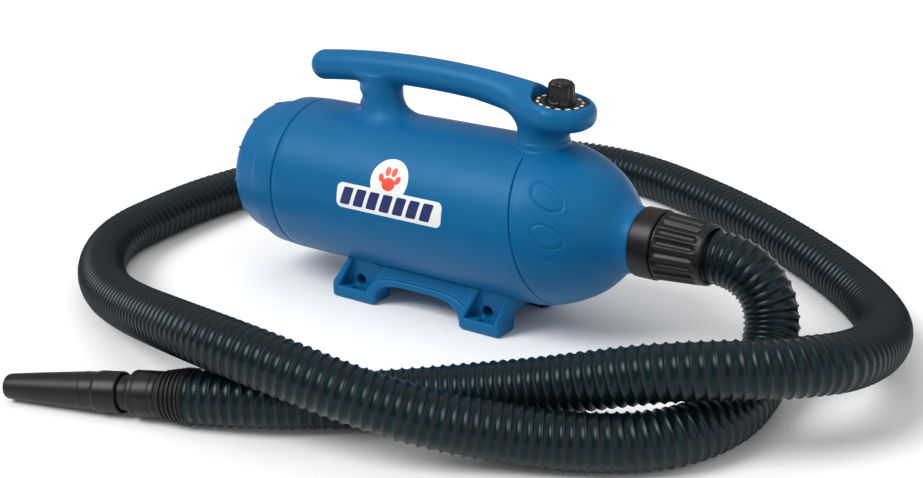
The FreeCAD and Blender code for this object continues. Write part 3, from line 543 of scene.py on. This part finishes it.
seam_slope = math.tan(math.radians(12.8))
barrel_stations = [(-156.2, 3), (-156.2, 0.9), (-155.9, 0.25), (-155.2, 0)]
barrel_stations += [(x, 0) for x in np.linspace(-150, 128.6, 40)]
barrel_stations += [(129.6, 0), (130.2, 0.25), (130.45, 0.9), (130.45, 3)]
barrel_stations += [(x, 3) for x in np.linspace(120, -150, 14)]
even_columns = [2 * math.pi * i / 144 for i in range(144)]
barrel = skinned("barrel", casing_rows(
    barrel_stations, even_columns,
    lambda x: seam_slope * min(1.0, max(0.0, (x - 20) / 100))), blue_shell, 50)


def bored(piece, at, heading, radius, length):
    """Cuts a round hole through a piece and keeps the result as its mesh."""
    drill = turned("drill", [(0, 0), (0, radius), (length, radius), (length, 0)],
                   piece.data.materials[0], at, heading, 32)
    hole = piece.modifiers.new("hole", "BOOLEAN")
    hole.operation = "DIFFERENCE"
    hole.solver = "EXACT"
    hole.object = drill
    keep_made(piece, hole)
    bpy.data.objects.remove(drill)


bored(barrel, (-125, 60, AXIS), (0, 1, 0), 8.0, 40)
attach(barrel, "dryer")
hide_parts("main_housing")

# the two thumb ovals and the short dash pressed into each side of the nose:
# centre x, centre height angle, half length, half width and skew
thumb_ovals = ((154.0, 40.0, 15.2, 10.6, -0.28), (161.0, 11.2, 13.6, 9.6, -0.28))


def pressed(x, t):
    """Depth of the oval grooves and the dash at this place on the nose."""
    angle = np.degrees(t)
    side = np.where(angle > 270, angle - 360, np.where(angle > 90, 180 - angle, angle))
    depth = np.zeros(len(t))
    for middle, lift, half_long, half_wide, skew in thumb_ovals:
        up = np.radians(side - lift) * 69
        along = x - middle
        reach = np.hypot(along / half_long, (up - skew * along) / half_wide)
        edge = (reach - 1) * half_wide
        depth -= 1.0 * np.exp(-(edge / 0.8) ** 2)
        depth += np.where(edge < 0, 0.35 * np.exp(-np.maximum(0, edge + 1.6) ** 2 / 2), 0)
    dash = np.hypot(np.maximum(0, np.abs(x - 163) - 3.5), np.radians(side + 8.6) * 65)
    return depth + 1.0 * np.exp(-(dash / 0.9) ** 2)


fine = list(np.arange(-14, 54, 0.55))
coarse_low, coarse_high = list(np.arange(194, 346, 3.0)), list(np.arange(54, 126, 3.0))
far_fine = [180 - a for a in fine[::-1]]
nose_columns = [math.radians(a) for a in fine + coarse_high + far_fine + coarse_low]
nose_stations = [(131.35, 3), (131.35, 0.9), (131.6, 0.25), (132.2, 0)]
nose_stations += [(x, 0) for x in np.arange(133.2, 182, 0.72)]
nose_stations += [(x, 0) for x in np.linspace(183.5, 220, 22)]
nose_stations += [(220.7, 0.3), (221, 1), (221, 3)]
nose_stations += [(x, 3) for x in np.linspace(212, 140, 16)]
nose = skinned("nose_dome", casing_rows(
    nose_stations, nose_columns,
    lambda x: seam_slope * min(1.0, max(0.0, (215 - x) / 84)), pressed), blue_shell, 50)
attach(nose, "dryer")
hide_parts("nose_shell")

cover_outline = eased([
    (-157.5, 76.6), (-158.3, 77.5), (-183.2, 76.0), (-186.2, 71.6), (-209, 68.2), (-216.4, 64.7),
    (-220, 59.6), (-220, 57), (-211, 57), (-204, 65), (-161.2, 70.5), (-161.2, 60), (-157.1, 60),
    (-157.1, 75.6)], 3.2)
cover = turned("intake_end_cap", cover_outline, blue_shell, steps=144, sharp=50)
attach(cover, "dryer")
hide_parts("rear_cover")


def clip_rib():
    """One clip rib of the end cap: a thin fin that follows the rim and fades forward."""
    spine = [(-219.6, 57.8), (-219.9, 59.8), (-218.6, 62.2), (-216.3, 64.8), (-212.8, 66.6),
             (-209, 67.9), (-204.5, 68.6), (-200, 69.0), (-197, 69.3)]
    lift = [0.2, 0.6, 0.9, 1.05, 0.9, 0.65, 0.4, 0.15, -0.2]
    points, faces = [], []
    for (x, r), h in zip(spine, lift):
        for y, drop in ((-1.5, 1.0), (-0.9, -0.55 * h), (-0.3, -h),
                        (0.3, -h), (0.9, -0.55 * h), (1.5, 1.0)):
            tilt = 0.6 if x < -215 else 0.15
            points.append(((x + drop * tilt) * MM, (r - drop) * MM, y * MM))
    count = 6
    for i in range(len(spine) - 1):
        for j in range(count):
            a, b = i * count + j, i * count + (j + 1) % count
            faces.append((a, b, b + count, a + count))
    faces += [tuple(range(count - 1, -1, -1)), tuple(range(len(points) - count, len(points)))]
    return built("clip_ribs", points, faces)


ribs = grow(clip_rib(), sector_of, Count=12, Turn=(math.radians(-1.5), 0, 0),
            Centre=(0, 0, AXIS * MM), Material=blue_shell)
finished(ribs.data, blue_shell, 60)
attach(ribs, "dryer")

# ------------------------------------------------------------------ base
# The cradle under the barrel: one moulding with four feet, a screw pocket in each,
# and an arch between them with a beaded lower edge. Its corners are all drawn soft.

def nearer(a, b, blend):
    """The union of two solids' depths, with a fillet where they meet."""
    share = np.clip(0.5 + 0.5 * (b - a) / blend, 0, 1)
    return b * (1 - share) + a * share - blend * share * (1 - share)


def without(solid, tool, edge):
    """A solid with a tool taken away, and the edge that this leaves rounded."""
    return -nearer(-solid, tool, edge)


def moulded(name, depth, low, high, cell, material, sharp=50):
    """The skin of a solid whose signed depth, in mm, is known everywhere: one quad for each
    cell that the skin crosses, with its corners then slid on to the skin itself."""
    axes = [np.arange(a, b + cell, cell) for a, b in zip(low, high)]
    grid = np.meshgrid(*axes, indexing="ij")
    full = depth(*grid) < 0
    size = np.array(full.shape) - 1
    filled = np.zeros(size, int)
    for i in (0, 1):
        for j in (0, 1):
            for k in (0, 1):
                filled += full[i:i + size[0], j:j + size[1], k:k + size[2]]
    crossed = (filled > 0) & (filled < 8)
    number = np.full(crossed.shape, -1)
    number[crossed] = np.arange(crossed.sum())
    points = np.array(low) + (np.argwhere(crossed) + 0.5) * cell
    quads = []
    for a in range(3):
        step_b, step_c = np.eye(3, dtype=int)[(a + 1) % 3], np.eye(3, dtype=int)[(a + 2) % 3]
        edge = np.argwhere(np.diff(full, axis=a))
        around = [edge, edge - step_b, edge - step_b - step_c, edge - step_c]
        quad = np.stack([number[tuple(spot.T)] for spot in around], 1)
        inside = full[tuple(edge.T)]
        quad[~inside] = quad[~inside][:, ::-1]
        quads.append(quad)
    quads = np.concatenate(quads)
    nudge = 0.05
    for settle in range(9):
        here = depth(*points.T)
        slope = np.stack([
            (depth(*(points + nudge * axis).T) - here) / nudge for axis in np.eye(3)], 1)
        length = np.maximum((slope ** 2).sum(1), 0.2)
        points = points - slope * np.clip(here / length, -cell, cell)[:, None]
        if settle in (2, 4, 6):
            total, count = np.zeros_like(points), np.zeros(len(points))
            for c in range(4):
                for other in ((c + 1) % 4, (c + 3) % 4):
                    np.add.at(total, quads[:, c], points[quads[:, other]])
                    np.add.at(count, quads[:, c], 1)
            points = 0.4 * points + 0.6 * total / count[:, None]
    piece = built(name, (points * MM).tolist(), quads.tolist())
    finished(piece.data, material, sharp)
    return piece


foot_x, foot_length, base_half = 77, 100, 55.5
screw_y, screw_radius, ledge, pad_y = 48.5, 3.5, 12.5, 40.5


def base_depth(x, y, z):
    """Depth inside the cradle: block, arch, recessed web, screw pockets, holes and channel."""
    half, above = np.abs(y), np.maximum(z - 14, 0)
    side = base_half - 0.4 * np.maximum(z - 17, 0)
    front_end = foot_length + 0.5 * above * (1 - 0.7 * (half / 60) ** 2)
    rear_end = -103 + 0.54 * above
    block = without(np.maximum(x - front_end, rear_end - x), side - half, 3.5)
    block = without(block, z - 1.2, 1.4)
    arch = ((np.abs(x - 2) / 51) ** 3.5 + (np.maximum(z, 0) / 24.8) ** 3.5) ** (1 / 3.5)
    arch_out = (arch - 1) * 22
    block = without(block, arch_out, 2.4)
    channel = ((half / 28) ** 4 + (np.maximum(z, 0) / 20) ** 4) ** 0.25
    block = without(block, (channel - 1) * 20, 2.4)
    web = np.maximum(np.maximum(5.5 - arch_out, np.abs(x - 2) - 57), side - 2.6 - half)
    block = without(block, web, 1.8)
    for middle in (-foot_x, foot_x):
        near = np.maximum(middle - 17 + 0.45 * (z - ledge), rear_end + 6)
        far = middle + 17 + (0.45 if middle < 0 else 0.28) * (z - ledge)
        pocket = np.maximum(np.maximum(near - x, x - far), np.maximum(42 - half, ledge - z))
        block = without(block, pocket, 2.4)
        bore = np.maximum(np.hypot(x - middle - 1.5, z - 18.4) - 5.7, 28 - half)
        block = without(block, bore, 0.9)
    hole = np.hypot(np.abs(x) - foot_x, half - screw_y) - screw_radius
    block = without(block, hole, 0.8)
    block = without(block, np.hypot(x - 100, half - 14) - 4.4, 0.5)
    return np.maximum(block, 77.1 - np.hypot(y, z - AXIS))


cradle = moulded("foot_cradle", base_depth, (-106, -60, -1), (124, 60, 66), 1.2, blue_shell, 60)
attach(cradle, "dryer")
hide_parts("base_cradle")

# soft moulded rubber that grips the table
foot_rubber = moulded_plastic("foot_rubber", "#141313", "#1d1b1a", 0.62, 0.8, 0.1)


def pad_depth(x, y, z):
    """Depth inside a foot pad: a rounded block with a screw hole and grip grooves under it."""
    block = without(np.abs(x) - 18, -(np.abs(y) - 11.4), 3.0)
    block = without(block, -(z - 3.05), 0.4)
    block = without(block, z - 0.02, 0.8)
    groove = np.hypot(np.mod(x + 3, 6) - 3, np.maximum(z, 0)) - 1.0
    hole = np.hypot(x, y - screw_y + pad_y) - screw_radius
    return without(without(block, groove, 0.3), hole, 0.4)


for place, x_side, y_side in (
        ("rear_near", -1, -1), ("rear_far", -1, 1), ("front_near", 1, -1), ("front_far", 1, 1)):
    def pad_there(x, y, z):
        return pad_depth(x - foot_x * x_side, (y - pad_y * y_side) * y_side, z)
    low = (foot_x * x_side - 21, pad_y * y_side - 15, -1)
    high = (foot_x * x_side + 21, pad_y * y_side + 15, 4.5)
    pad = moulded("foot_pad_" + place, pad_there, low, high, 0.7, foot_rubber, 50)
    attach(pad, "dryer")
    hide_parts("rubber_foot_" + place)

# ------------------------------------------------------------------ handle
# A blue moulding screwed down on the barrel: a round grip that bows forward
# from a free tip, two posts that flare into the casing, and a pod for the dial.

grip_curve = np.polyfit([-144, -20, 100], [221.5, 229, 221], 2)
dial_at, dial_tilt = np.array([134.3, 0, 221]), math.radians(6)
dial_normal = np.array([math.sin(dial_tilt), 0, math.cos(dial_tilt)])
dial_forward = np.array([math.cos(dial_tilt), 0, -math.sin(dial_tilt)])
rear_post_x, front_post_x = -71, 116


def handle_depth(x, y, z):
    """Depth inside the handle: grip, posts and pod run together, less the dial's recess."""
    station = np.clip(x, -141, 112)
    grip = np.sqrt((x - station) ** 2 + y ** 2 + (z - np.polyval(grip_curve, station)) ** 2) - 15
    behind = np.clip(-(x + 73) / 20, 0, 1)
    fingers = 1.1 * np.cos((z - 206) * 2 * math.pi / 14) * behind
    rear = (np.hypot((x - rear_post_x) / 23.0, y / 16.5) - 1) * 18 - fingers
    rear_post = np.maximum(rear, z - 221)
    front = np.hypot(x - front_post_x, y) - 23.6 + 0.05 * (z - 195)
    front_post = np.maximum(front, z - 214)
    u = (x - dial_at[0]) * dial_forward[0] + (z - dial_at[2]) * dial_forward[2]
    w = (x - dial_at[0]) * dial_normal[0] + (z - dial_at[2]) * dial_normal[2]
    back_share = np.clip(-u / 78, 0, 1)
    outline = np.hypot(u + 78 * back_share, y) - (34 - 23 * back_share ** 0.9)
    lift = 9.2 - 3.0 * back_share
    rounding = 10.0
    flat = np.maximum(outline + rounding, 0)
    thick = np.maximum(np.abs(w + lift) - (11.5 - 2.0 * back_share) + rounding, 0)
    within = np.minimum(np.maximum(outline + rounding, np.abs(w + lift) - 1.5), 0)
    pod = np.hypot(flat, thick) - rounding + within
    barrel_out = np.hypot(y, z - AXIS) - np.interp(x, skin_x, skin_r)
    form = nearer(nearer(grip, pod, 8.0), front_post, 16.0)
    lip = np.maximum(np.hypot(x - front_post_x, y) - 25.2, z - 184)
    form = nearer(nearer(form, lip, 1.6), rear_post, 8.0)
    flare = 3.0 + np.clip((40 - x) / 60, 0, 1) * (11.0 + 8.0 * np.clip((x + 80) / 20, 0, 1))
    form = nearer(form, barrel_out + 0.5, flare)
    recess = np.maximum(np.hypot(u, y) - 26.2, -1.5 - w)
    pocket = np.maximum(np.hypot(u, y) - 16, -17 - w)
    form = without(without(form, recess, 1.6), pocket, 0.5)
    near_posts = np.minimum(np.hypot(x + 66, y) - 46, np.hypot(x - front_post_x, y) - 32)
    spread = np.minimum(near_posts, 190 - z)
    return np.maximum(np.maximum(form, spread), -2.5 - barrel_out)


handle = moulded(
    "carry_handle", handle_depth, (-162, -50, 150), (176, 50, 248), 1.25, blue_shell, 60)
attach(handle, "dryer")
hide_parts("handle")

# ------------------------------------------------------------------ speed control
# A printed dial plate sunk in the pod, and a fluted phenolic-look knob that turns
# on the potentiometer's spindle. The marks are even ticks round the plate.

up_dial = (0, -math.pi / 2 + dial_tilt, 0)
# polycarbonate sheet, printed black
printed_black = moulded_plastic("printed_black_sheet", "#1b1a18", "#2a2723", 0.4, 0.4, 0.02)
plate_outline = eased([
    (-1.5, 3.6), (-1.5, 25.5), (-0.3, 25.5), (-0.3, 22.8), (0, 22.6), (0, 15.2), (-0.35, 15),
    (-0.35, 14.2), (0, 14), (0, 3.6)], 0.15)
plate = turned(
    "dial_face", plate_outline, printed_black, tuple(dial_at), tuple(dial_normal), 120, 40)
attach(plate, "dryer")
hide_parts("dial_plate")

# white screen-printing ink
print_ink = moulded_plastic("screen_print_white", "#e9e8e2", "#d9d7cf", 0.55, 0.3, 0.02)


def mark():
    """One raised printed tick of the dial, a bar bent to the plate's circle."""
    points, faces = [], []
    for i in range(5):
        across = math.radians(-6.5 + 3.25 * i)
        for r in (19.4, 21.9):
            for a in (-0.1, 0.14):
                points.append((a * MM, math.cos(across) * r * MM, math.sin(across) * r * MM))
    for i in range(4):
        a = i * 4
        faces += [(a, a + 4, a + 6, a + 2), (a + 1, a + 3, a + 7, a + 5), (a, a + 1, a + 5, a + 4),
                  (a + 2, a + 6, a + 7, a + 3)]
    faces += [(0, 2, 3, 1), (16, 17, 19, 18)]
    return built("dial_marks", points, faces)


marks = grow(
    mark(), sector_of, Count=14, Turn=up_dial, Centre=tuple(dial_at * MM), Material=print_ink)
finished(marks.data, print_ink, 40)
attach(marks, "dryer")

# glossy black phenolic-look moulding
knob_gloss = moulded_plastic("phenolic_knob", "#090808", "#100f0e", 0.3, 0.35, 0.03)


def knob_flutes(along, radius, across):
    """Twelve rounded lands round the knob, running out below its crown and above its skirt."""
    if radius < 8 or not 2.5 < along < 19.2:
        return radius
    trough = (math.cos((across - 0.5) * 2 * math.pi) * 0.5 + 0.5) ** 1.5
    ends = min(1.0, (along - 2.5) / 1.5)
    return radius - 1.15 * (1 - trough) * ends


knob_outline = [(7.2, 0), (7.2, 3.0), (0.5, 3.0), (0.5, 13.9),
                (0.9, 14.3), (1.8, 14.0), (2.4, 13.6), (3.2, 13.3)]
knob_outline += [(a, 13.3 - 0.1 * (a - 3)) for a in np.linspace(4.2, 16.8, 8)]
knob_outline += [(18.2, 11.1), (19.1, 10.1), (19.5, 8.4), (19.5, 7.8),
                 (18.9, 7.0), (18.8, 6.4), (18.8, 0)]
knob = sector("speed_knob_fluted", knob_outline, 12, 10, knob_flutes)
grow(knob, sector_of, Count=12, Turn=up_dial, Centre=tuple(dial_at * MM), Material=knob_gloss)
finished(knob.data, knob_gloss, 45)
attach(knob, "speed_knob")
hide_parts("speed_knob")

# ------------------------------------------------------------------ label
# A die-cut printed film on the near side of the barrel: a white-edged bar with
# navy air blades, under a round badge with a red paw.

# glossy vinyl label film, and the inks printed on it
gloss_film = moulded_plastic("printed_film_white", "#eef0ee", "#e2e4e2", 0.3, 0.8, 0.01)
navy_ink = moulded_plastic("printed_film_navy", "#1f2a5c", "#27336a", 0.32, 0.8, 0.01)
red_ink = moulded_plastic("printed_film_red", "#e0432f", "#ea5540", 0.32, 0.8, 0.01)
label_x, label_angle = -9.0, math.radians(25)


def film(name, shapes, thick, material):
    """Flat shapes, in mm along and up the label, laid on the barrel as film this thick."""
    work = bmesh.new()
    for shape in shapes:
        work.faces.new([work.verts.new((u, v, 0)) for u, v in shape])
    for level in np.arange(-45, 45, 2.5):
        bmesh.ops.bisect_plane(work, geom=work.verts[:] + work.edges[:] + work.faces[:],
                               plane_co=(0, level, 0), plane_no=(0, 1, 0))
    top = work.faces[:]
    grown = bmesh.ops.extrude_face_region(work, geom=top, use_keep_orig=True)
    raised = {item for item in grown["geom"] if isinstance(item, bmesh.types.BMVert)}
    for vert in work.verts:
        u, v = vert.co.x, vert.co.y
        out = BARREL + (thick if vert in raised else 0.02)
        t = label_angle + v / BARREL
        vert.co = Vector((label_x + u, -out * math.cos(t), AXIS + out * math.sin(t))) * MM
    mesh = bpy.data.meshes.new(name)
    work.to_mesh(mesh)
    work.free()
    finished(mesh, material, 30)
    piece = put_in(name, mesh)
    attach(piece, "dryer")
    return piece


def rounded_box(u0, v0, u1, v1, radius, slant=0.0):
    """A box with round corners, its top leaning forward by the slant."""
    spots = []
    for cu, cv, start in ((u1 - radius, v1 - radius, 0), (u0 + radius, v1 - radius, 90),
                          (u0 + radius, v0 + radius, 180), (u1 - radius, v0 + radius, 270)):
        for i in range(7):
            t = math.radians(start + i * 15)
            u, v = cu + radius * math.cos(t), cv + radius * math.sin(t)
            spots.append((u + slant * v, v))
    return spots


def oval(u, v, wide, tall, turn=0.0, count=40):
    """An oval, turned by so many degrees."""
    c, s = math.cos(math.radians(turn)), math.sin(math.radians(turn))
    spots = []
    for i in range(count):
        a, b = wide * math.cos(2 * math.pi * i / count), tall * math.sin(2 * math.pi * i / count)
        spots.append((u + a * c - b * s, v + a * s + b * c))
    return spots


backing = film("label_backing", [rounded_box(-62, -30, 62, -6, 6), oval(-3, 4, 21.5, 21.5, 0, 72)],
               0.3, gloss_film)
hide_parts("side_label")
blades = [rounded_box(-55 + 15.8 * i, -26.5, -43.5 + 15.8 * i, -9.5, 1.6, 0.28) for i in range(7)]
film("label_blades", [[(u + 4.5, v) for u, v in blade] for blade in blades], 0.42, navy_ink)
paw = [oval(-3, 0.5, 7.6, 6.4, 0, 40), oval(-12.6, 5.6, 3.0, 4.3, 24, 28),
       oval(-6.6, 12.6, 3.1, 4.6, 8, 28), oval(0.9, 12.6, 3.1, 4.6, -8, 28),
       oval(6.8, 5.6, 3.0, 4.3, -24, 28)]
film("label_paw", paw, 0.42, red_ink)

# ------------------------------------------------------------------ intake
# The pull-out intake set: a slotted grille in satin black, the frame behind it and
# a disc of open-cell foam that catches hair.

def grille_ring(name, inner, outer, count, slot):
    """A ring of the grille: spokes between two hoops, one slot to each sector."""
    turn = 2 * math.pi / count
    half = [0.5 * turn - slot / 2 / r for r in (inner, outer)]
    points, faces = [], []
    for x in (-217.9, -214.5):
        for r, share in ((inner, half[0]), (outer, half[1])):
            for t in (-share, 0, share):
                points.append((x * MM, r * math.cos(t) * MM, r * math.sin(t) * MM))
    faces += [(0, 1, 4, 3), (1, 2, 5, 4), (6, 9, 10, 7), (7, 10, 11, 8), (0, 3, 9, 6)]
    faces += [(2, 8, 11, 5), (0, 6, 7, 1), (1, 7, 8, 2), (3, 4, 10, 9), (4, 5, 11, 10)]
    piece = built(name, points, faces)
    soft = piece.modifiers.new("soft", "BEVEL")
    soft.width = 0.5 * MM
    soft.segments = 2
    keep_made(piece, soft)
    grow(piece, sector_of, Count=count, Centre=(0, 0, AXIS * MM), Material=satin_nylon)
    finished(piece.data, satin_nylon, 40)
    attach(piece, "intake_filter")


grille_ring("grille_inner_spokes", 13.6, 30.4, 12, 3.4)
grille_ring("grille_outer_spokes", 33.6, 51.4, 24, 3.4)
for name, r0, r1 in (
        ("grille_hub", 0, 14.2), ("grille_middle_hoop", 29.8, 34.2), ("grille_rim", 50.8, 56.3)):
    hoop_outline = eased([(-218, r0), (-218, r1), (-214.5, r1), (-214.5, r0)], 0.8) if r0 else [
        (-217.4, 0), (-217.6, 6), (-218, 12.6), (-217.7, 13.9),
        (-217, 14.2), (-214.5, 14.2), (-214.5, 0)]
    hoop_piece = turned(name, hoop_outline, satin_nylon, steps=120)
    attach(hoop_piece, "intake_filter")
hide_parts("intake_grille")


def open_foam():
    """Reticulated polyurethane foam: charcoal, with open cells about 1 mm across."""
    made, tree, skin, place = bare_material("open_cell_foam")
    cells = add_node(tree, "ShaderNodeTexVoronoi", {"feature": "DISTANCE_TO_EDGE"}, {
        "Vector": place, "Scale": 700.0})
    # the middle of each cell is painted near-black: painted shade in the open pores, where one
    # looks deeper into the foam; the struts round them keep the foam's charcoal grey, and the same
    # mask also sinks the pores as a bump
    pore_depth_and_shade = add_node(tree, "ShaderNodeMapRange", {}, {
        "Value": cells.outputs["Distance"], "From Min": 0.02, "From Max": 0.22,
        "To Min": 0.0, "To Max": 1.0})
    shade = add_node(tree, "ShaderNodeMix", {"data_type": "RGBA"}, {
        0: pore_depth_and_shade.outputs["Result"], 6: paint("#4a4a4c"), 7: paint("#111112")})
    tree.links.new(shade.outputs[2], skin.inputs["Base Color"])
    relief = add_node(tree, "ShaderNodeBump", {"invert": True}, {
        "Strength": 0.8, "Distance": 0.0006, "Height": pore_depth_and_shade.outputs["Result"]})
    tree.links.new(relief.outputs["Normal"], skin.inputs["Normal"])
    skin.inputs["Roughness"].default_value = 0.95
    return made


def dress(material, *names):
    """Gives carried-over nodes their real finish."""
    for name in names:
        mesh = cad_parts[name].data
        mesh.materials.clear()
        mesh.materials.append(material)


dress(open_foam(), "foam_filter", "acoustic_foam")
dress(satin_nylon, "filter_frame")

# ------------------------------------------------------------------ fan and motor
# Inside the barrel: a two-stage fan in a moulded shroud on the shaft of a
# series-wound brush motor, carried by a cast frame, brackets and rubber mounts.

def worked_metal(name, colour, roughness, mark_size, stretch):
    """A bare metal with its working marks this many mm apart: cast metal is pebbled,
    and turned or drawn metal is marked along one way, so its gloss streaks."""
    made, tree, skin, place = bare_material(name)
    drawn = add_node(tree, "ShaderNodeMapping", {}, {
        "Vector": place, "Scale": (1.0, stretch, stretch)})
    marks_here = add_node(tree, "ShaderNodeTexNoise", {}, {
        "Vector": drawn.outputs["Vector"], "Scale": 1000 / mark_size / stretch, "Detail": 3.0})
    gloss = add_node(tree, "ShaderNodeMapRange", {}, {
        "Value": marks_here.outputs["Fac"], "To Min": roughness - 0.1, "To Max": roughness + 0.12})
    tree.links.new(gloss.outputs["Result"], skin.inputs["Roughness"])
    tint = add_node(tree, "ShaderNodeMix", {"data_type": "RGBA"}, {
        0: marks_here.outputs["Fac"], 6: paint(colour),
        7: [c * 0.82 for c in paint(colour)[:3]] + [1.0]})
    tree.links.new(tint.outputs[2], skin.inputs["Base Color"])
    relief = add_node(tree, "ShaderNodeBump", {}, {
        "Strength": 0.3, "Distance": 0.00005, "Height": marks_here.outputs["Fac"]})
    tree.links.new(relief.outputs["Normal"], skin.inputs["Normal"])
    skin.inputs["Metallic"].default_value = 1.0
    return made


cast_aluminium = worked_metal("cast_aluminium", "#c9cbcc", 0.42, 0.8, 1.0)
turned_steel = worked_metal("turned_steel", "#b9bbbd", 0.3, 0.25, 6.0)
fan_nylon = moulded_plastic("glass_filled_nylon", "#1e1f21", "#2a2b2d", 0.5, 0.4, 0.05)
dress(cast_aluminium, "motor_frame", "front_bracket", "rear_bearing_seat", "heat_sink",
      "front_spider", "impeller_first", "impeller_second")
dress(turned_steel, "motor_shaft", "impeller_nut", "front_bearing", "rear_bearing", "knob_spindle",
      "rear_cover_screws", "nose_screws", "handle_screws", "motor_screws")
dress(worked_metal("laminated_steel", "#8b8e92", 0.45, 0.5, 12.0), "stator_core", "rotor_core")
dress(worked_metal("enamelled_copper", "#c0703c", 0.32, 0.6, 0.2), "stator_coils")
dress(worked_metal("drawn_copper", "#d08a5c", 0.35, 0.3, 5.0), "commutator")
dress(worked_metal("machined_brass", "#c8a55a", 0.34, 0.3, 4.0),
      "brush_holder_near", "brush_holder_far")
dress(moulded_plastic("pressed_carbon", "#1b1b1c", "#2b2b2c", 0.6, 0.3, 0.05), "carbon_brushes")
dress(fan_nylon, "fan_shroud", "diffuser_plate", "board_standoffs", "speed_potentiometer")
dress(cuff_rubber, "rear_motor_mount", "front_motor_mount", "cord_entry_bush")
dress(moulded_plastic("glass_epoxy_board", "#1d5a34", "#256a3e", 0.35, 1.2, 0.04), "control_board")
dress(moulded_plastic("lead_vinyl", "#8a1f1a", "#9a2a22", 0.4, 0.6, 0.03), "dial_lead")
